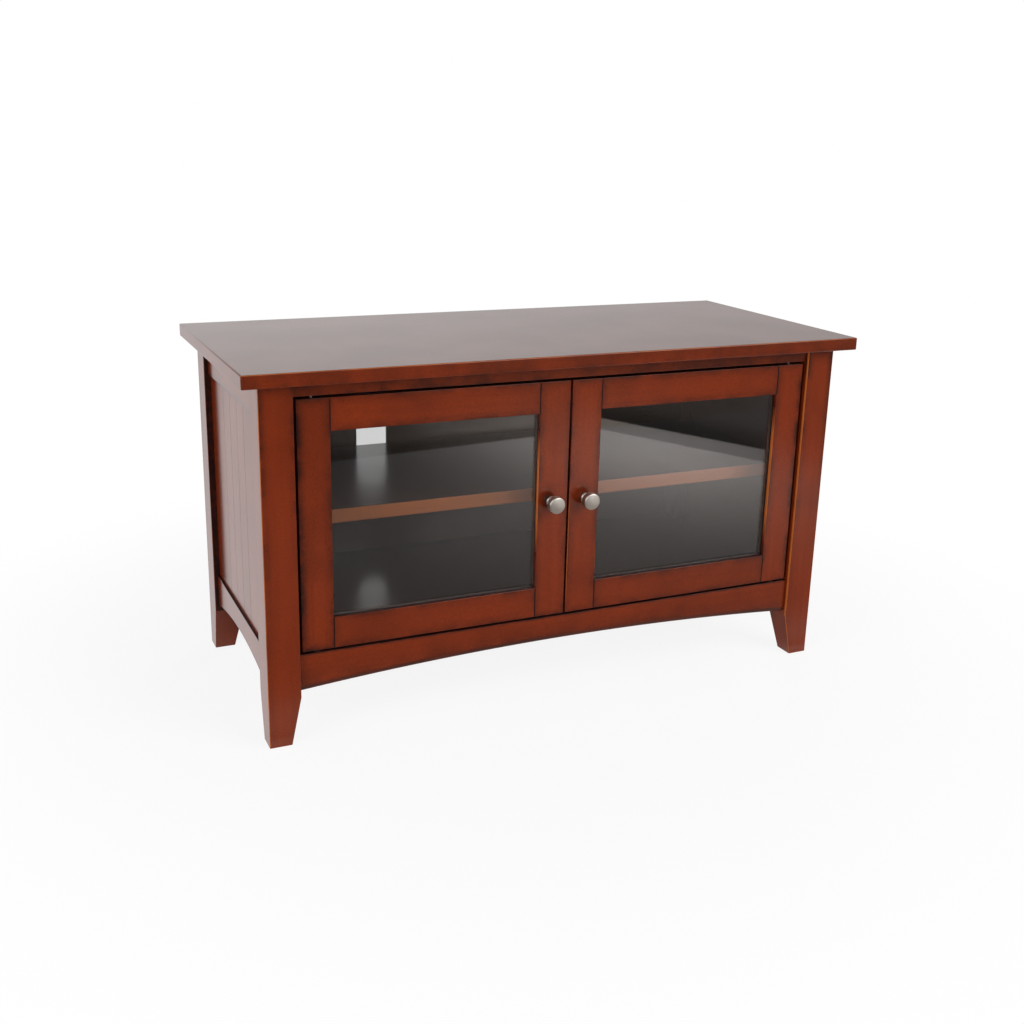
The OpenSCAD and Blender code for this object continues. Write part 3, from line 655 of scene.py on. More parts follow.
@cache
def stop_wood():
    """Thin stops stained dull, so that they hardly show behind the glass."""
    f = settings()
    n = MaterialNodes("stop_wood")
    streaks = n.noise(n.place, 260, 4, 0.6)
    base = n.over(f.stop, streaks, 0.35, 0.7, 0.6, tone(f.stop, 0.7))
    return n.varnish(base, streaks, 0.4, 0.5)


@cache
def dark_board():
    """Thin board with a dark stain and a smooth varnish."""
    f = settings()
    n = MaterialNodes("dark_board")
    fibres = n.noise(n.moved(0, 0, 0, scale=(0.05, 1, 1)), 160, 4, 0.6)
    clouds = n.noise(n.place, 7, 2)
    base = n.over(f.dark_board, fibres, 0.35, 0.7, 0.6, tone(f.dark_board, 0.55))
    base = n.over(base, clouds, 0.4, 0.7, 0.4, tone(f.dark_board, 1.5))
    n.bump(fibres, 0.025, 0.2 * MM)
    return n.varnish(base, clouds, 0.20, 0.27)


def plain_wood():
    """Unfinished wood of the parts behind."""
    f = settings()
    n = MaterialNodes("plain_wood_x")
    streaks, clouds, pores = n.wood("X", 11)
    base = n.over(f.plain_wood, streaks, 0.35, 0.7, 0.7, tone(f.plain_wood, 0.66))
    base = n.over(base, clouds, 0.4, 0.7, 0.4, tone(f.plain_wood, 1.25))
    base = n.over(base, pores, 0.6, 0.8, 0.4, tone(f.plain_wood, 0.4))
    n.bump(streaks, 0.2, 0.4 * MM)
    return n.varnish(base, streaks, 0.55, 0.7)


def clear_glass():
    """Clear float glass that lets the lamps through."""
    f = settings()
    n = MaterialNodes("clear_glass")
    tint = n.over(f.glass, n.noise(n.place, 5, 1), 0.3, 0.7, 1.0, tone(f.glass, 0.985))
    n.set(Base_Color=tint, Roughness=0.0, IOR=1.5, Transmission_Weight=1.0)
    n.set(Coat_Weight=0.3, Coat_Roughness=0.0)
    clear = n.add("ShaderNodeBsdfTransparent", Color=f.glass)
    n.mix(n.rays()["Is Shadow Ray"], n.shader, clear)
    return n.material


def brushed_nickel():
    """Satin nickel with the fine rings that turning and brushing leave."""
    f = settings()
    n = MaterialNodes("brushed_nickel")
    knob = centre_of("right_door_knob")
    x, y, z = n.split(n.place)
    sideways = n.maths("SUBTRACT", n.maths("ABSOLUTE", x), knob.x)
    upward = n.maths("SUBTRACT", z, knob.z)
    radius = n.maths("SQRT", n.plus(n.times(sideways, sideways), n.times(upward, upward)))
    rings = n.add("ShaderNodeCombineXYZ", X=radius, Y=n.times(y, 0.6)).outputs[0]
    fine = n.noise(rings, 2600, 3, 0.6)
    base = n.over(f.nickel, fine, 0.35, 0.7, 0.6, tone(f.nickel, 0.86))
    n.bump(fine, 0.10, 0.1 * MM)
    return n.varnish(base, fine, 0.33, 0.43, Metallic=1.0)


def hardware(name, base, metal, rough, scale):
    """Small metal or plastic parts, with a faint unevenness."""
    n = MaterialNodes(name)
    uneven = n.noise(n.place, scale, 3)
    n.bump(uneven, 0.05, 0.1 * MM)
    shade = n.over(base, uneven, 0.35, 0.7, 0.7, tone(base, 0.8))
    return n.varnish(shade, uneven, rough, rough + 0.12, Metallic=metal)


def dress(nodes, material):
    """Gives a material to nodes that keep the frame's own shape."""
    for name in nodes:
        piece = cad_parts[name]
        piece.data.materials.clear()
        piece.data.materials.append(material)


# The cabinet's pieces

class StepOperator:
    """What the build steps share."""

    bl_options = {"REGISTER", "UNDO"}

    def execute(self, context):
        self.build(context.scene.cabinet_shape)
        nothing_selected()
        return {"FINISHED"}


class CABINET_OT_top(StepOperator, bpy.types.Operator):
    """Board of the top with rounded and rubbed edges"""

    bl_idname = "cabinet.top"
    bl_label = "Top"

    def build(self, shape):
        low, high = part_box("top_panel")
        thick, near_front = high.z - low.z, low.y + 3 * MM
        piece = block("top_panel_finished", low, high, *wood("X", 1))
        open_mesh(piece)
        round_edges(shape.top_radius, shape.edge_steps)
        band(shape.glaze_and_shade_band, (0, 0, 1), (0, 0, -1))
        band(thick * EDGE_SHARE, *SIDES)
        close_mesh()
        # The whole top keeps some darkening (rest): painted shade, as the top gets less light than
        # the front. Glaze lies along its edges on top of that.
        lay_glaze_and_shade(piece, lambda place: 0.55 if place.z > low.z + thick / 2 else 0.6, rest=0.5)
        keep_rubbed(piece, lambda place: place.y < near_front
                    and shape.top_radius * 0.06 < high.z - place.z < shape.top_radius * 0.6)
        settle(piece, "cabinet", "cherry", "top_panel")


class CABINET_OT_posts(StepOperator, bpy.types.Operator):
    """Four posts, each tapered at the foot on its two inner faces"""

    bl_idname = "cabinet.posts"
    bl_label = "Posts"

    def post(self, shape, node, seed, side, inner_y):
        """One post. side is +1 at the right, and inner_y is +1 if its inner face looks back."""
        low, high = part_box(node)
        taper = (high.x - low.x) - shape.foot_width
        inner_x, outer_x = (low.x, high.x) if side > 0 else (high.x, low.x)
        inner, outer = (high.y, low.y) if inner_y > 0 else (low.y, high.y)
        front = outer < 0
        strip, arris = 3 * MM, 4 * MM
        piece = block(node + "_finished", low, high, *wood("Z", seed))
        open_mesh(piece)
        cut(shape.taper_height, 2)
        shift(lambda v: v.co.z < MM and abs(v.co.x - inner_x) < MM, 0, side * taper)
        shift(lambda v: v.co.z < MM and abs(v.co.y - inner) < MM, 1, -inner_y * taper)
        round_edges(shape.edge_radius, shape.edge_steps)
        band(shape.glaze_and_shade_band, *SIDES)
        # The face that looks into the cabinet, above the taper, takes the dark line finish; on a
        # back post this is the narrow strip beside the side panel, darker than the front.
        not_tapered = 0.99
        paint(GLAZED_AND_SHADED, lambda f: f.normal.y * inner_y > not_tapered and f.material_index == FACE)

        def inwards(f):
            return f.normal.x * side < -FACING and middle(f).z > shape.taper_height

        # On the front right post, the front strip of the inner face, clear of the door gap, takes
        # the bright rubbed finish: rubbed stain and painted light.
        if front and side > 0:
            cut(outer + strip, 1, inwards)
            paint(RUBBED, lambda f: inwards(f) and middle(f).y < outer + strip)
        # On the back posts, the faces that look across into the cabinet take the dark line finish
        # as well.
        if not front:
            paint(GLAZED_AND_SHADED, inwards)
        close_mesh()

        # Glaze along the edges, with painted shade under the top and along the door gap, darkest at
        # the front left post's edge by the gap.
        def amount(place):
            if place.z > high.z - arris:
                return 0.9
            above_foot = place.z > shape.taper_height
            by_inner_x = above_foot and abs(place.x - inner_x) < arris
            if by_inner_x and abs(place.y - outer) < arris:
                if side > 0:
                    return 0.35
                on_face = abs(place.y - outer) < 0.3 * MM
                return 1.0 if on_face and place.z > high.z / 2 else 0.6
            if by_inner_x:
                return 0.8
            return 0.45 if abs(place.y - inner) < arris else 0.3

        def worn(place):
            if abs(place.y - outer) > strip:
                return False
            foot = place.z < 14 * MM
            outside = abs(place.x - outer_x) < strip
            length_of_post = 2 * MM < place.z < high.z - 12 * MM
            return outside or foot or (front and side > 0 and length_of_post)

        lay_glaze_and_shade(piece, amount)
        keep_rubbed(piece, worn)
        settle(piece, "cabinet", "cherry", node)

    def build(self, shape):
        seed = 2
        for side, word in ((1, "right"), (-1, "left")):
            for inner_y, end in ((1, "front"), (-1, "back")):
                self.post(shape, f"{end}_{word}_post", seed, side, inner_y)
                seed += 11


class CABINET_OT_rails(StepOperator, bpy.types.Operator):
    """Rails between the posts: flat top rails and arched lower rails"""

    bl_idname = "cabinet.rails"
    bl_label = "Rails"

    def raise_arch(self, shape, low, high, axis, rise):
        """Cuts the open block into slices and lifts their lower corners onto a circle."""
        centre = (low[axis] + high[axis]) / 2
        half = (high[axis] - low[axis]) / 2 - shape.arch_flat
        radius = (half ** 2 + rise ** 2) / (2 * rise)
        places = [half * (2 * k / shape.arch_steps - 1) for k in range(shape.arch_steps + 1)]
        for off in places:
            cut(centre + off, axis)
        for off in places:
            lift = rise - radius + math.sqrt(radius ** 2 - off ** 2)
            if lift > TOUCH:
                shift(lambda v: v.co.z < low.z + TOUCH and abs(v.co[axis] - centre - off) < CLOSE,
                      2, lift)

    def arched(self, shape, node, seed, axis, face, ease, drop=0.0, wide=False):
        """An arched rail along one axis. Its outer face is at face, across that axis. The arch is
        eased towards that face and dark on its edge, or on a wide strip along it. It may reach
        lower than the frame's."""
        low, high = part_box(node)
        low = low - Vector((0, 0, drop))
        materials = *wood("XY"[axis], seed), dark_arris()
        piece = block(node + "_finished", low, high, *materials)
        across = 1 - axis
        open_mesh(piece)
        self.raise_arch(shape, low, high, axis, shape.arch_rise + drop / 4)

        def on_arch(edge):
            a, b = (v.co for v in edge.verts)
            return abs(middle(edge)[across] - face) < CLOSE and abs((a - b)[axis]) > MM and (
                middle(edge).z < high.z - MM)

        round_edges(shape.door_radius, 3, lambda e: middle(e).z > high.z - CLOSE)
        pick("EDGE", on_arch)
        round_picked(ease, 4)
        outwards = [0, 0, 0]
        outwards[across] = 1 if face > 0 else -1
        strip = shape.arch_flat * 0.85
        band(strip, outwards)
        # The eased lower edge of the arch takes the shaded arris finish: painted shade on the
        # rounding that faces down, on a wide strip for the front arch.
        paint(OWN, lambda f: middle(f).z < high.z - strip and (f.material_index == RUBBED or (
            wide and f.normal.dot(Vector(outwards)) > FACING and tall(f) < 2 * strip)))
        # Top and underside take the dark line finish: painted shade below the rail and in the gap
        # under the doors.
        paint(GLAZED_AND_SHADED, lambda f: f.material_index == FACE and abs(f.normal.z) > 0.7)
        close_mesh()
        # Glaze and painted shade along the top edge by the door gap, and along the arch.
        upper, by_arch = high.z - 3 * MM, 0.55 if wide else 1.0
        lay_glaze_and_shade(piece, lambda place: 0.8 if place.z > upper else by_arch)
        keep_rubbed(piece)
        for p in piece.data.polygons:
            p.use_smooth = p.material_index != FACE
        return settle(piece, "cabinet", "cherry", node)

    def flat(self, shape, node, seed, grain, rest=0.0):
        """A top rail. rest is how much painted shade its faces keep away from their edges."""
        low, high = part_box(node)
        piece = block(node + "_finished", low, high, *wood(grain, seed))
        open_mesh(piece)
        round_edges(shape.edge_radius, 3)
        band(min(shape.glaze_and_shade_band, (high.z - low.z) * EDGE_SHARE), *SIDES)
        close_mesh()
        lay_glaze_and_shade(piece, lambda place: 1.0 - 0.4 * rest, rest)
        keep_rubbed(piece)
        return settle(piece, "cabinet", "cherry", node)

    def build(self, shape):
        # The front top rail is darkened all over: painted shade under the overhang of the top.
        self.flat(shape, "front_top_rail", 4, "X", rest=0.64)
        front_low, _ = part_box("front_arched_rail")
        self.arched(shape, "front_arched_rail", 5, 0, front_low.y, shape.arch_ease,
                    shape.arch_drop, wide=True)
        side = self.flat(shape, "right_top_rail", 6, "Y")
        twin(side, "cabinet", "cherry", "left_top_rail")
        _, side_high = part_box("right_arched_rail")
        side = self.arched(shape, "right_arched_rail", 7, 1, side_high.x, shape.edge_radius)
        twin(side, "cabinet", "cherry", "left_arched_rail")


class CABINET_OT_side_panels(StepOperator, bpy.types.Operator):
    """Boarded panels at the sides, with a fine V joint between the boards"""

    bl_idname = "cabinet.side_panels"
    bl_label = "Side panels"

    def build(self, shape):
        low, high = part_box("right_side_panel")
        rail_low, rail_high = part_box("right_arched_rail")
        top_low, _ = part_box("right_top_rail")
        y0, y1 = rail_low.y, rail_high.y
        piece = block("right_side_panel_finished", (low.x, y0, rail_high.z),
                      (high.x, y1, top_low.z), *wood("Z", 8), dark_board())
        half = shape.board_joint / 2
        joints = [y0 + k * (y1 - y0) / shape.boards for k in range(1, shape.boards)]

        def in_joint(place):
            return min(abs(place.y - y) for y in joints) < CLOSE

        open_mesh(piece)
        for y in joints:
            for place in (y - half, y, y + half):
                cut(place, 1)
        shift(lambda v: v.co.x > high.x - TOUCH and in_joint(v.co), 0, -half)
        # The inner face takes the dark board's finish, so the inside is darker than the outside.
        paint(OWN, lambda f: f.normal.x < -FACING)
        close_mesh()
        mark(piece, GLAZE_AND_SHADE, lambda i, place: 0.9 if in_joint(place) else 0.0)
        settle(piece, "cabinet", "cherry", "right_side_panel")
        twin(piece, "cabinet", "cherry", "left_side_panel")


class CABINET_OT_inside(StepOperator, bpy.types.Operator):
    """Back with its cable slots, bottom and shelf"""

    bl_idname = "cabinet.inside"
    bl_label = "Back, bottom and shelf"

    def slot_cutter(self, shape, x, low, high):
        """A round-ended bar as long as a cable slot."""
        height, reach = shape.slot_height, (shape.slot_length - shape.slot_width) / 2
        nothing_selected()
        bpy.ops.mesh.primitive_cylinder_add(
            vertices=64, radius=shape.slot_width / 2, depth=4 * (high.y - low.y),
            rotation=(math.radians(90), 0, 0), location=(x, (low.y + high.y) / 2, height),
        )
        cutter = named("slot_cutter")
        open_mesh(cutter)
        cut(height, 2)
        shift(lambda v: v.co.z > height + TOUCH, 2, reach)
        shift(lambda v: v.co.z < height - TOUCH, 2, -reach)
        return close_mesh()

    def board(self, node, radius, *cutters):
        """A dark board with its openings and lightly rounded edges."""
        piece = block(node + "_finished", *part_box(node), dark_board(), dark_board())
        cut_away(piece, *cutters)
        open_mesh(piece)
        round_edges(radius, 2)
        close_mesh()
        settle(piece, "cabinet", "dark_board", node)

    def shelf(self, shape):
        low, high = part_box("shelf")
        materials = *wood("X", 9), dark_board(), shelf_band()
        piece = block("shelf_finished", low, high, *materials)
        cut_away(piece, *notches(low, high, 2 * MM, "back_right_post", "back_left_post"))
        open_mesh(piece)
        round_edges(shape.edge_radius, 3)
        # The shelf's top and underside take the dark board's finish, darker than its edges.
        paint(OWN, lambda f: f.material_index == FACE and abs(f.normal.z) > FACING)
        close_mesh()
        lay_glaze_and_shade(piece, lambda place: 0.5)
        keep_rubbed(piece)
        open_mesh(piece)
        # The front edge takes the lighter band finish, which is partly painted light.
        paint(BAND, lambda f: middle(f).y < low.y + 2 * MM and f.normal.y < -0.3)
        close_mesh()
        settle(piece, "cabinet", "cherry", "shelf")

    def build(self, shape):
        low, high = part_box("back_panel")
        slots = [self.slot_cutter(shape, s * shape.slot_place, low, high) for s in (-1, 1)]
        self.board("back_panel", 0.4 * MM, *slots)
        posts = [f"{end}_{side}_post" for side in ("right", "left") for end in ("front", "back")]
        self.board("bottom_panel", 0.3 * MM, *notches(*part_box("bottom_panel"), 0.3 * MM, *posts))
        self.shelf(shape)


class CABINET_OT_doors(StepOperator, bpy.types.Operator):
    """Door frames: stiles and rails with a rabbet for the glass, and the stops behind it"""

    bl_idname = "cabinet.doors"
    bl_label = "Door frames"

    def member(self, shape, node, body, seed, low, high, light, wear=None):
        """One stile or rail. Its joints keep the dark glaze, and its ends and its reveal towards
        the glass are painted dark as shade. wear tells which of its upright arrises is rubbed."""
        x0, z0, x1, z1 = light
        worn_x, worn_low, worn_high, depth = wear or Wear(0, 0, 0, 0)
        upright = node.endswith("stile")
        inner_x = x1 if abs(low.x - x1) < MM else x0
        fade, line, joint = 45 * MM, 0.95 * MM, 1.5 * MM
        materials = wood("Z" if upright else "X", seed, "inner_stile" in node)
        piece = block(node + "_finished", low, high, *materials)
        open_mesh(piece)
        if upright:
            for z in (z0, z1, worn_low, worn_low + fade, worn_high - fade, worn_high):
                if low.z < z < high.z:
                    cut(z, 2)
        round_edges(shape.door_radius, shape.edge_steps)
        band(shape.glaze_and_shade_band, (0, -1, 0), (0, 1, 0))
        if upright:
            band(4 * MM, (1, 0, 0))

        def at_joint(place):
            if upright:
                return abs(place.x - inner_x) < joint and not z0 < place.z < z1
            return min(abs(place.x - x0), abs(place.x - x1)) < joint

        def on_face(f):
            return f.normal.y < -FACING and f.material_index == FACE and (
                not upright or not z0 < middle(f).z < z1)

        def reveal(f):
            return f.normal.x < -FACING

        def worn(place):
            near = abs(place.x - worn_x) < 2 * MM and place.y < low.y + max(depth, 2 * MM)
            return near and worn_low < place.z < worn_high

        paint(GLAZED_AND_SHADED, lambda f: f.material_index == RUBBED and at_joint(middle(f)))
        # The ends, which show in the gaps, and the reveal that faces right take the dark line
        # finish: painted shade, with the glaze that end grain takes.
        paint(GLAZED_AND_SHADED, lambda f: f.material_index == FACE and (abs(f.normal.z) > FACING or (
            upright and f.normal.x > FACING and abs(middle(f).x - inner_x) < MM)))
        for x, way in ((x0, 1), (x1, -1)):
            towards = x + (-way if upright else way) * line
            if low.x < towards < high.x:
                cut(towards, 0, on_face)
                paint(GLAZED_AND_SHADED, lambda f: on_face(f) and abs(middle(f).x - x) < line)
        # The front of the reveal that faces left takes the bright rubbed finish where worn, as
        # rubbed stain and painted light; its deep part by the glass takes the dark line finish, as
        # painted shade.
        if depth:
            cut(low.y + depth, 1, reveal)
            paint(RUBBED, lambda f: reveal(f) and worn(middle(f)))
            paint(GLAZED_AND_SHADED, lambda f: reveal(f) and middle(f).y > low.y + depth)
        close_mesh()
        edge = shape.rabbet
        cut_away(piece, block("rabbet_cutter", (x0 - edge, low.y + shape.glass_lip, z0 - edge),
                              (x1 + edge, high.y + MM, z1 + edge)))

        # Glaze along the joints and edges. An outer stile is darkest at its edge by the hinge gap
        # and an inner stile darker along the middle gap: painted shade of the gaps.
        def amount(place):
            if at_joint(place):
                return 0.72
            if upright and abs(place.x - inner_x) > 20 * MM:
                return 1.0 if "outer" in node and place.y < low.y + 0.3 * MM else 0.7
            return 0.75

        lay_glaze_and_shade(piece, amount)
        keep_rubbed(piece, worn)
        if wear:
            first, last = worn_low + MM, worn_high - MM
            mark(piece, FADED, lambda i, place: 0.0 if first < place.z < last else 1.0)
        settle(piece, body, "cherry", node)

    def door(self, shape, side, seed):
        """The frame of one door, at the left or at the right."""
        body, right = side + "_door", side == "right"
        outer_low, outer_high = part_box(body + "_outer_stile")
        inner_low, inner_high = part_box(body + "_inner_stile")
        y0, y1 = outer_low.y, outer_high.y
        x0, x1 = (inner_high.x, outer_low.x) if right else (outer_high.x, inner_low.x)
        z0, z1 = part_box(body + "_bottom_rail")[1].z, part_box(body + "_top_rail")[0].z
        from_z, to_z = (195 * MM, 405 * MM) if right else (225 * MM, 400 * MM)
        at_glass = Wear(x1, from_z, to_z, 5 * MM)
        at_gap = Wear(inner_low.x, outer_low.z, 330 * MM, 0)
        light = Opening(x0, z0, x1, z1)
        for part, low, high, wear in (
            ("_outer_stile", outer_low, outer_high, at_glass if right else None),
            ("_inner_stile", inner_low, inner_high, at_gap if right else at_glass),
            ("_top_rail", Vector((x0, y0, z1)), Vector((x1, y1, outer_high.z)), None),
            ("_bottom_rail", Vector((x0, y0, outer_low.z)), Vector((x1, y1, z0)), None),
        ):
            self.member(shape, body + part, body, seed, low, high, light, wear)
            seed += 1
        return light

    def stops(self, light):
        """Four strips behind the glass, with rounded edges."""
        x0, z0, x1, z1 = light
        low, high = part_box("right_door_glass_stops")
        gap = 0.2 * MM
        strips = []
        for ax, az, bx, bz in (
            (low.x, low.z, high.x, z0), (low.x, z1, high.x, high.z),
            (low.x, z0 + gap, x0, z1 - gap), (x1, z0 + gap, high.x, z1 - gap),
        ):
            ends = (ax, low.y, az), (bx, high.y, bz)
            strips.append(block("right_door_glass_stops_finished", *ends, stop_wood(), stop_wood()))
            open_mesh(strips[-1])
            round_edges(0.8 * MM, 3)
            close_mesh()
        only(strips[0])
        for strip in strips:
            strip.select_set(True)
        bpy.ops.object.join()
        settle(strips[0], "right_door", "dark_board", "right_door_glass_stops")
        twin(strips[0], "left_door", "dark_board", "left_door_glass_stops")

    def build(self, shape):
        self.door(shape, "left", 21)
        self.stops(self.door(shape, "right", 12))
        dress(["left_door_glass", "right_door_glass"], clear_glass())


class CABINET_OT_knobs(StepOperator, bpy.types.Operator):
    """Turned knobs in brushed nickel"""

    bl_idname = "cabinet.knobs"
    bl_label = "Knobs"

    def build(self, shape):
        low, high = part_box("right_door_knob")
        head, reach = (high.x - low.x) / 2, high.y - low.y
        foot, waist = head * 0.625, head * 0.4125
        rim, dome = 0.10, 0.045  # depth of the rounded rim and of the dome, as shares of reach
        face = head - rim * reach
        outline = [
            (0, foot * 0.97), (0.012, foot), (0.08, foot), (0.10, foot * 0.96),
            (0.125, foot * 0.86), (0.14, foot * 0.80), (0.155, waist * 1.04), (0.20, waist),
        ]
        for a in map(math.radians, range(0, 91, 9)):
            outline.append((0.26 + 0.30 * math.sin(a), head - (head - waist) * math.cos(a)))
        for a in map(math.radians, range(0, 86, 12)):
            outline.append((1 - dome - rim + rim * math.sin(a), face + rim * reach * math.cos(a)))
        for part in (1, 0.85, 0.65, 0.45, 0.25, 0.04):
            outline.append((1 - dome * part ** 2, face * part))
        outline = [(along * reach, radius) for along, radius in outline]
        centre = Vector(((low.x + high.x) / 2, high.y, (low.z + high.z) / 2))
        piece = turned("right_door_knob_finished", centre, (0, -1, 0), outline, 64)
        finishes(piece, brushed_nickel())
        settle(piece, "right_door", "brushed_nickel", "right_door_knob")
        twin(piece, "left_door", "brushed_nickel", "left_door_knob")


class CABINET_OT_hardware(StepOperator, bpy.types.Operator):
    """Pins, bushings, catch, screws and the plain wood behind"""

    bl_idname = "cabinet.hardware"
    bl_label = "Hardware and hidden wood"

    def build(self, shape):
        f = settings()

        def on_doors(*parts):
            return [f"{side}_door_{part}" for part in parts for side in ("left", "right")]

        screws = ["top_screws", "cleat_screws", "back_panel_screws", "catch_screws", "shelf_pins"]
        for nodes, material in (
            (screws + on_doors("knob_screw", "strike", "strike_screw"),
             hardware("zinc_steel", f.zinc, 1.0, 0.28, 700)),
            (on_doors("upper_pin"), hardware("bright_steel", tone(f.zinc, 0.62), 1.0, 0.22, 700)),
            (on_doors("lower_pin"), hardware("black_steel", tone(f.zinc, 0.08), 1.0, 0.45, 700)),
            (["upper_bushings", "lower_bushings", "catch_housing"],
             hardware("nylon", f.nylon, 0.0, 0.62, 300)),
            (["catch_magnets"], hardware("ferrite", f.magnet, 0.0, 0.55, 900)),
            (["back_top_rail", "back_lower_rail"], dark_board()),
            (["top_cleats", "bottom_cleats", "frame_dowels"], plain_wood()),
        ):
            dress(nodes, material)


class CABINET_OT_stage(StepOperator, bpy.types.Operator):
    """Pale floor, soft light and the camera"""

    bl_idname = "cabinet.stage"
    bl_label = "Stage"

    # Name, the setting that holds the power, place, size, and whether gloss mirrors it
    LAMPS = (
        ("left_lamp", "left_power", (-2.4, -1.3, 2.1), 2.2, True),
        ("low_lamp", "low_power", (-2.4, -1.1, 0.45), 0.8, False),
        ("front_lamp", "front_power", (1.55, -2.45, 2.0), 2.2, True),
        ("back_lamp", "back_power", (1.9, 2.3, 0.75), 1.2, False),
    )
    AIM = Vector((0, 0, 0.3))

    def floor(self, stage):
        """A wide pale floor that fades into the white background, with a painted shadow for gloss
        where the cabinet stands over it, and a glow for diffuse light that brightens the cabinet
        from below."""
        nothing_selected()
        bpy.ops.mesh.primitive_plane_add(size=40, location=(0, 0, -0.1 * MM))
        floor = named("studio_floor")
        n = MaterialNodes("studio_floor")
        pale = stage.floor_colour
        tint = n.over(pale, n.noise(n.place, 3, 2), 0.3, 0.7, 1.0, tone(pale, 0.99))
        n.set(Base_Color=tint, Roughness=0.9, Specular_IOR_Level=0.0)
        rays = n.rays()
        away = n.add("ShaderNodeVectorMath", Vector=n.place)
        away.operation = "LENGTH"
        # under_cabinet dims the floor in gloss beneath the cabinet: a painted shadow. bounce makes
        # the floor glow to diffuse light: painted fill from below.
        nearby, bounce, under_cabinet = 0.88, 0.5, 0.3
        seen = n.times(rays["Is Camera Ray"], n.ramp(away.outputs["Value"], 0.4, 1.1, nearby, 1.0))
        seen = n.higher(seen, rays["Is Glossy Ray"])
        seen = n.higher(seen, rays["Is Transmission Ray"])
        seen = n.higher(seen, n.times(rays["Is Diffuse Ray"], bounce))
        x, y, _ = n.split(n.place)
        under = n.times(n.ramp(n.maths("ABSOLUTE", x), 0.38, 0.45, 1.0, 0.0),
                        n.ramp(n.maths("ABSOLUTE", y), 0.14, 0.21, 1.0, 0.0))
        mirrored = n.between(n.times(under, rays["Is Glossy Ray"]), 1.0, under_cabinet)
        strength = n.between(rays["Is Transmission Ray"], mirrored, stage.seen_through)
        n.mix(seen, n.shader, n.add("ShaderNodeEmission", Strength=strength))
        finishes(floor, n.material)

    def mirrored_paper(self, stage):
        """The studio paper in front, as the gloss of doors, posts and knobs mirrors it: bright
        where the front lamp strikes it, and ending at its front edge and its right edge."""
        # A card that glows only in gloss: a painted reflection of the lit paper, with a painted
        # pool of light where the front lamp strikes it.
        nothing_selected()
        size, front = 12.0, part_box("top_panel")[0].y
        bpy.ops.mesh.primitive_plane_add(size=size, location=(0, front - size / 2, MM / 2))
        card = named("mirrored_paper")
        n = MaterialNodes("mirrored_paper", "ShaderNodeEmission")
        x, y, _ = n.split(n.place)
        paper = stage.paper
        for glow, places, middles, widths in (
            (stage.hot_spot, (x, y), (0.87, -1.42), (0.30, 0.38)),
            (stage.near_glow, (x, y), (0.50, -0.80), (0.50, 0.30)),
            (stage.foot_glow, (y,), (front - 0.05,), (0.05,)),
        ):
            paper = n.plus(n.times(n.bell(places, middles, widths), glow), paper)
        # Distances to the paper's two edges, which run a little aslant
        before_end = n.plus(n.plus(y, 1.494), n.times(x, 0.107))
        past_side = n.plus(n.plus(x, n.times(y, -0.52)), -1.647)
        soft, beside = (-0.012, 0.012), 0.58
        on_paper = n.ramp(before_end, *soft)
        whole = n.between(on_paper, n.ramp(before_end, -0.14, -0.05, 0.66, 0.34), 1.0)
        strip = n.between(n.ramp(past_side, *soft), whole, beside)
        dim = n.ramp(past_side, 0.14, 0.45, 0.12, 0.26)
        shine = n.between(n.ramp(past_side, 0.112, 0.136), n.times(paper, strip), dim)
        warm = [c * w for c, w in zip(stage.paper_warmth, (1.0, 0.92, 0.84))]
        n.set(Strength=shine, Color=n.blend(on_paper, warm, stage.paper_warmth))
        by_gloss = n.maths("MINIMUM", n.rays()["Glossy Depth"], 1.0)
        n.mix(by_gloss, n.add("ShaderNodeBsdfTransparent"), n.shader)
        finishes(card, n.material)
        for way in ("camera", "diffuse", "volume_scatter", "shadow"):
            setattr(card, "visible_" + way, False)

    def world(self, stage):
        """White for the camera and the gloss, a plain dim fill for everything else."""
        world = bpy.data.worlds.new("studio_light")
        bpy.context.scene.world = world
        world.use_nodes = True
        n = Nodes(world.node_tree)
        rays = n.rays()
        x, _, z = n.split(n.add("ShaderNodeTexCoord").outputs["Generated"])
        fill = n.ramp(z, 0.0, 1.0, stage.fill_light, stage.fill_light * 0.25)
        mirrored = n.times(n.ramp(x, 0.15, 0.75, 1.0, 0.70), n.ramp(z, 0.20, 0.85, 1.0, 0.30))
        strength = n.between(rays["Is Glossy Ray"], fill, mirrored)
        strength = n.between(rays["Is Camera Ray"], strength, 1.0)
        strength = n.between(rays["Is Transmission Ray"], strength, stage.seen_through)
        light = n.add("ShaderNodeBackground", Color=(1, 1, 1), Strength=strength)
        n.join(light.outputs[0], n.add("ShaderNodeOutputWorld").inputs["Surface"])

    def lamp(self, name, watts, place, size, mirrored):
        light = bpy.data.lights.new(name, "AREA")
        light.energy, light.size = watts, size
        lamp = bpy.data.objects.new(name, light)
        lamp.visible_glossy = mirrored
        bpy.context.scene.collection.objects.link(lamp)
        lamp.location = place
        lamp.rotation_euler = (self.AIM - Vector(place)).to_track_quat("-Z", "Y").to_euler()

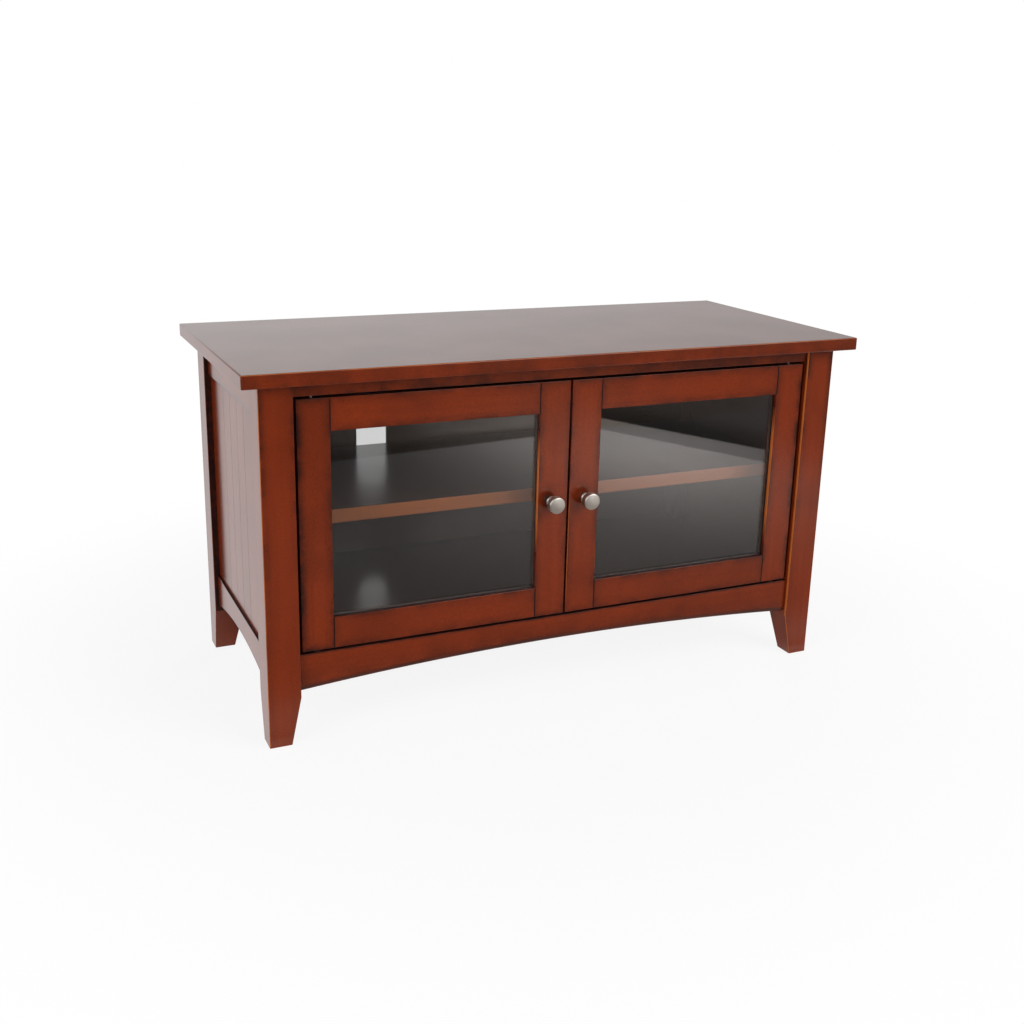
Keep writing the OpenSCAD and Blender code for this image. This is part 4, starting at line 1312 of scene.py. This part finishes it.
    def camera(self, stage):
        turn, tilt, roll = stage.camera_turn, stage.camera_tilt, stage.camera_roll
        ahead = Vector((math.sin(turn) * math.cos(tilt), math.cos(turn) * math.cos(tilt),
                        -math.sin(tilt)))
        right = Vector((math.cos(turn), -math.sin(turn), 0))
        up = right.cross(ahead)
        right, up = (right * math.cos(roll) + up * math.sin(roll),
                     up * math.cos(roll) - right * math.sin(roll))
        lens = bpy.data.cameras.new("camera")
        lens.lens, lens.sensor_width, lens.shift_y = stage.lens, 36, stage.shift_up
        camera = bpy.data.objects.new("camera", lens)
        bpy.context.scene.collection.objects.link(camera)
        turned_to = Matrix((right, up, -ahead)).transposed().to_4x4()
        camera.matrix_world = Matrix.Translation(stage.camera_place) @ turned_to
        bpy.context.scene.camera = camera

    def build(self, shape):
        stage = bpy.context.scene.cabinet_stage
        self.floor(stage)
        self.mirrored_paper(stage)
        self.world(stage)
        for name, setting, place, size, mirrored in self.LAMPS:
            self.lamp(name, getattr(stage, setting), place, size, mirrored)
        self.camera(stage)
        bpy.context.scene.view_settings.view_transform = "Standard"


STEPS = (
    CABINET_OT_top, CABINET_OT_posts, CABINET_OT_rails, CABINET_OT_side_panels,
    CABINET_OT_inside, CABINET_OT_doors, CABINET_OT_knobs, CABINET_OT_hardware,
    CABINET_OT_stage,
)
GROUPS = {
    "cabinet_shape": CabinetShape, "cabinet_finish": CabinetFinish, "cabinet_stage": CabinetStage,
}


class CABINET_PT_build(bpy.types.Panel):
    """Lists the build steps and the settings of the cabinet"""

    bl_idname = "CABINET_PT_build"
    bl_label = "Low media cabinet"
    bl_space_type = "VIEW_3D"
    bl_region_type = "UI"
    bl_category = "Cabinet"

    def draw(self, context):
        column = self.layout.column()
        for step in STEPS:
            column.operator(step.bl_idname, text=step.bl_label)
        for name, group in GROUPS.items():
            for key in group.__annotations__:
                column.prop(getattr(context.scene, name), key)


def register():
    for name, group in GROUPS.items():
        bpy.utils.register_class(group)
        setattr(bpy.types.Scene, name, PointerProperty(type=group))
    for cls in (*STEPS, CABINET_PT_build):
        bpy.utils.register_class(cls)


def unregister():
    for cls in (CABINET_PT_build, *reversed(STEPS)):
        bpy.utils.unregister_class(cls)
    for name, group in GROUPS.items():
        delattr(bpy.types.Scene, name)
        bpy.utils.unregister_class(group)


def main():
    register()
    for step in STEPS:
        family, name = step.bl_idname.split(".")
        getattr(getattr(bpy.ops, family), name)()


if __name__ == "__main__":
    main()
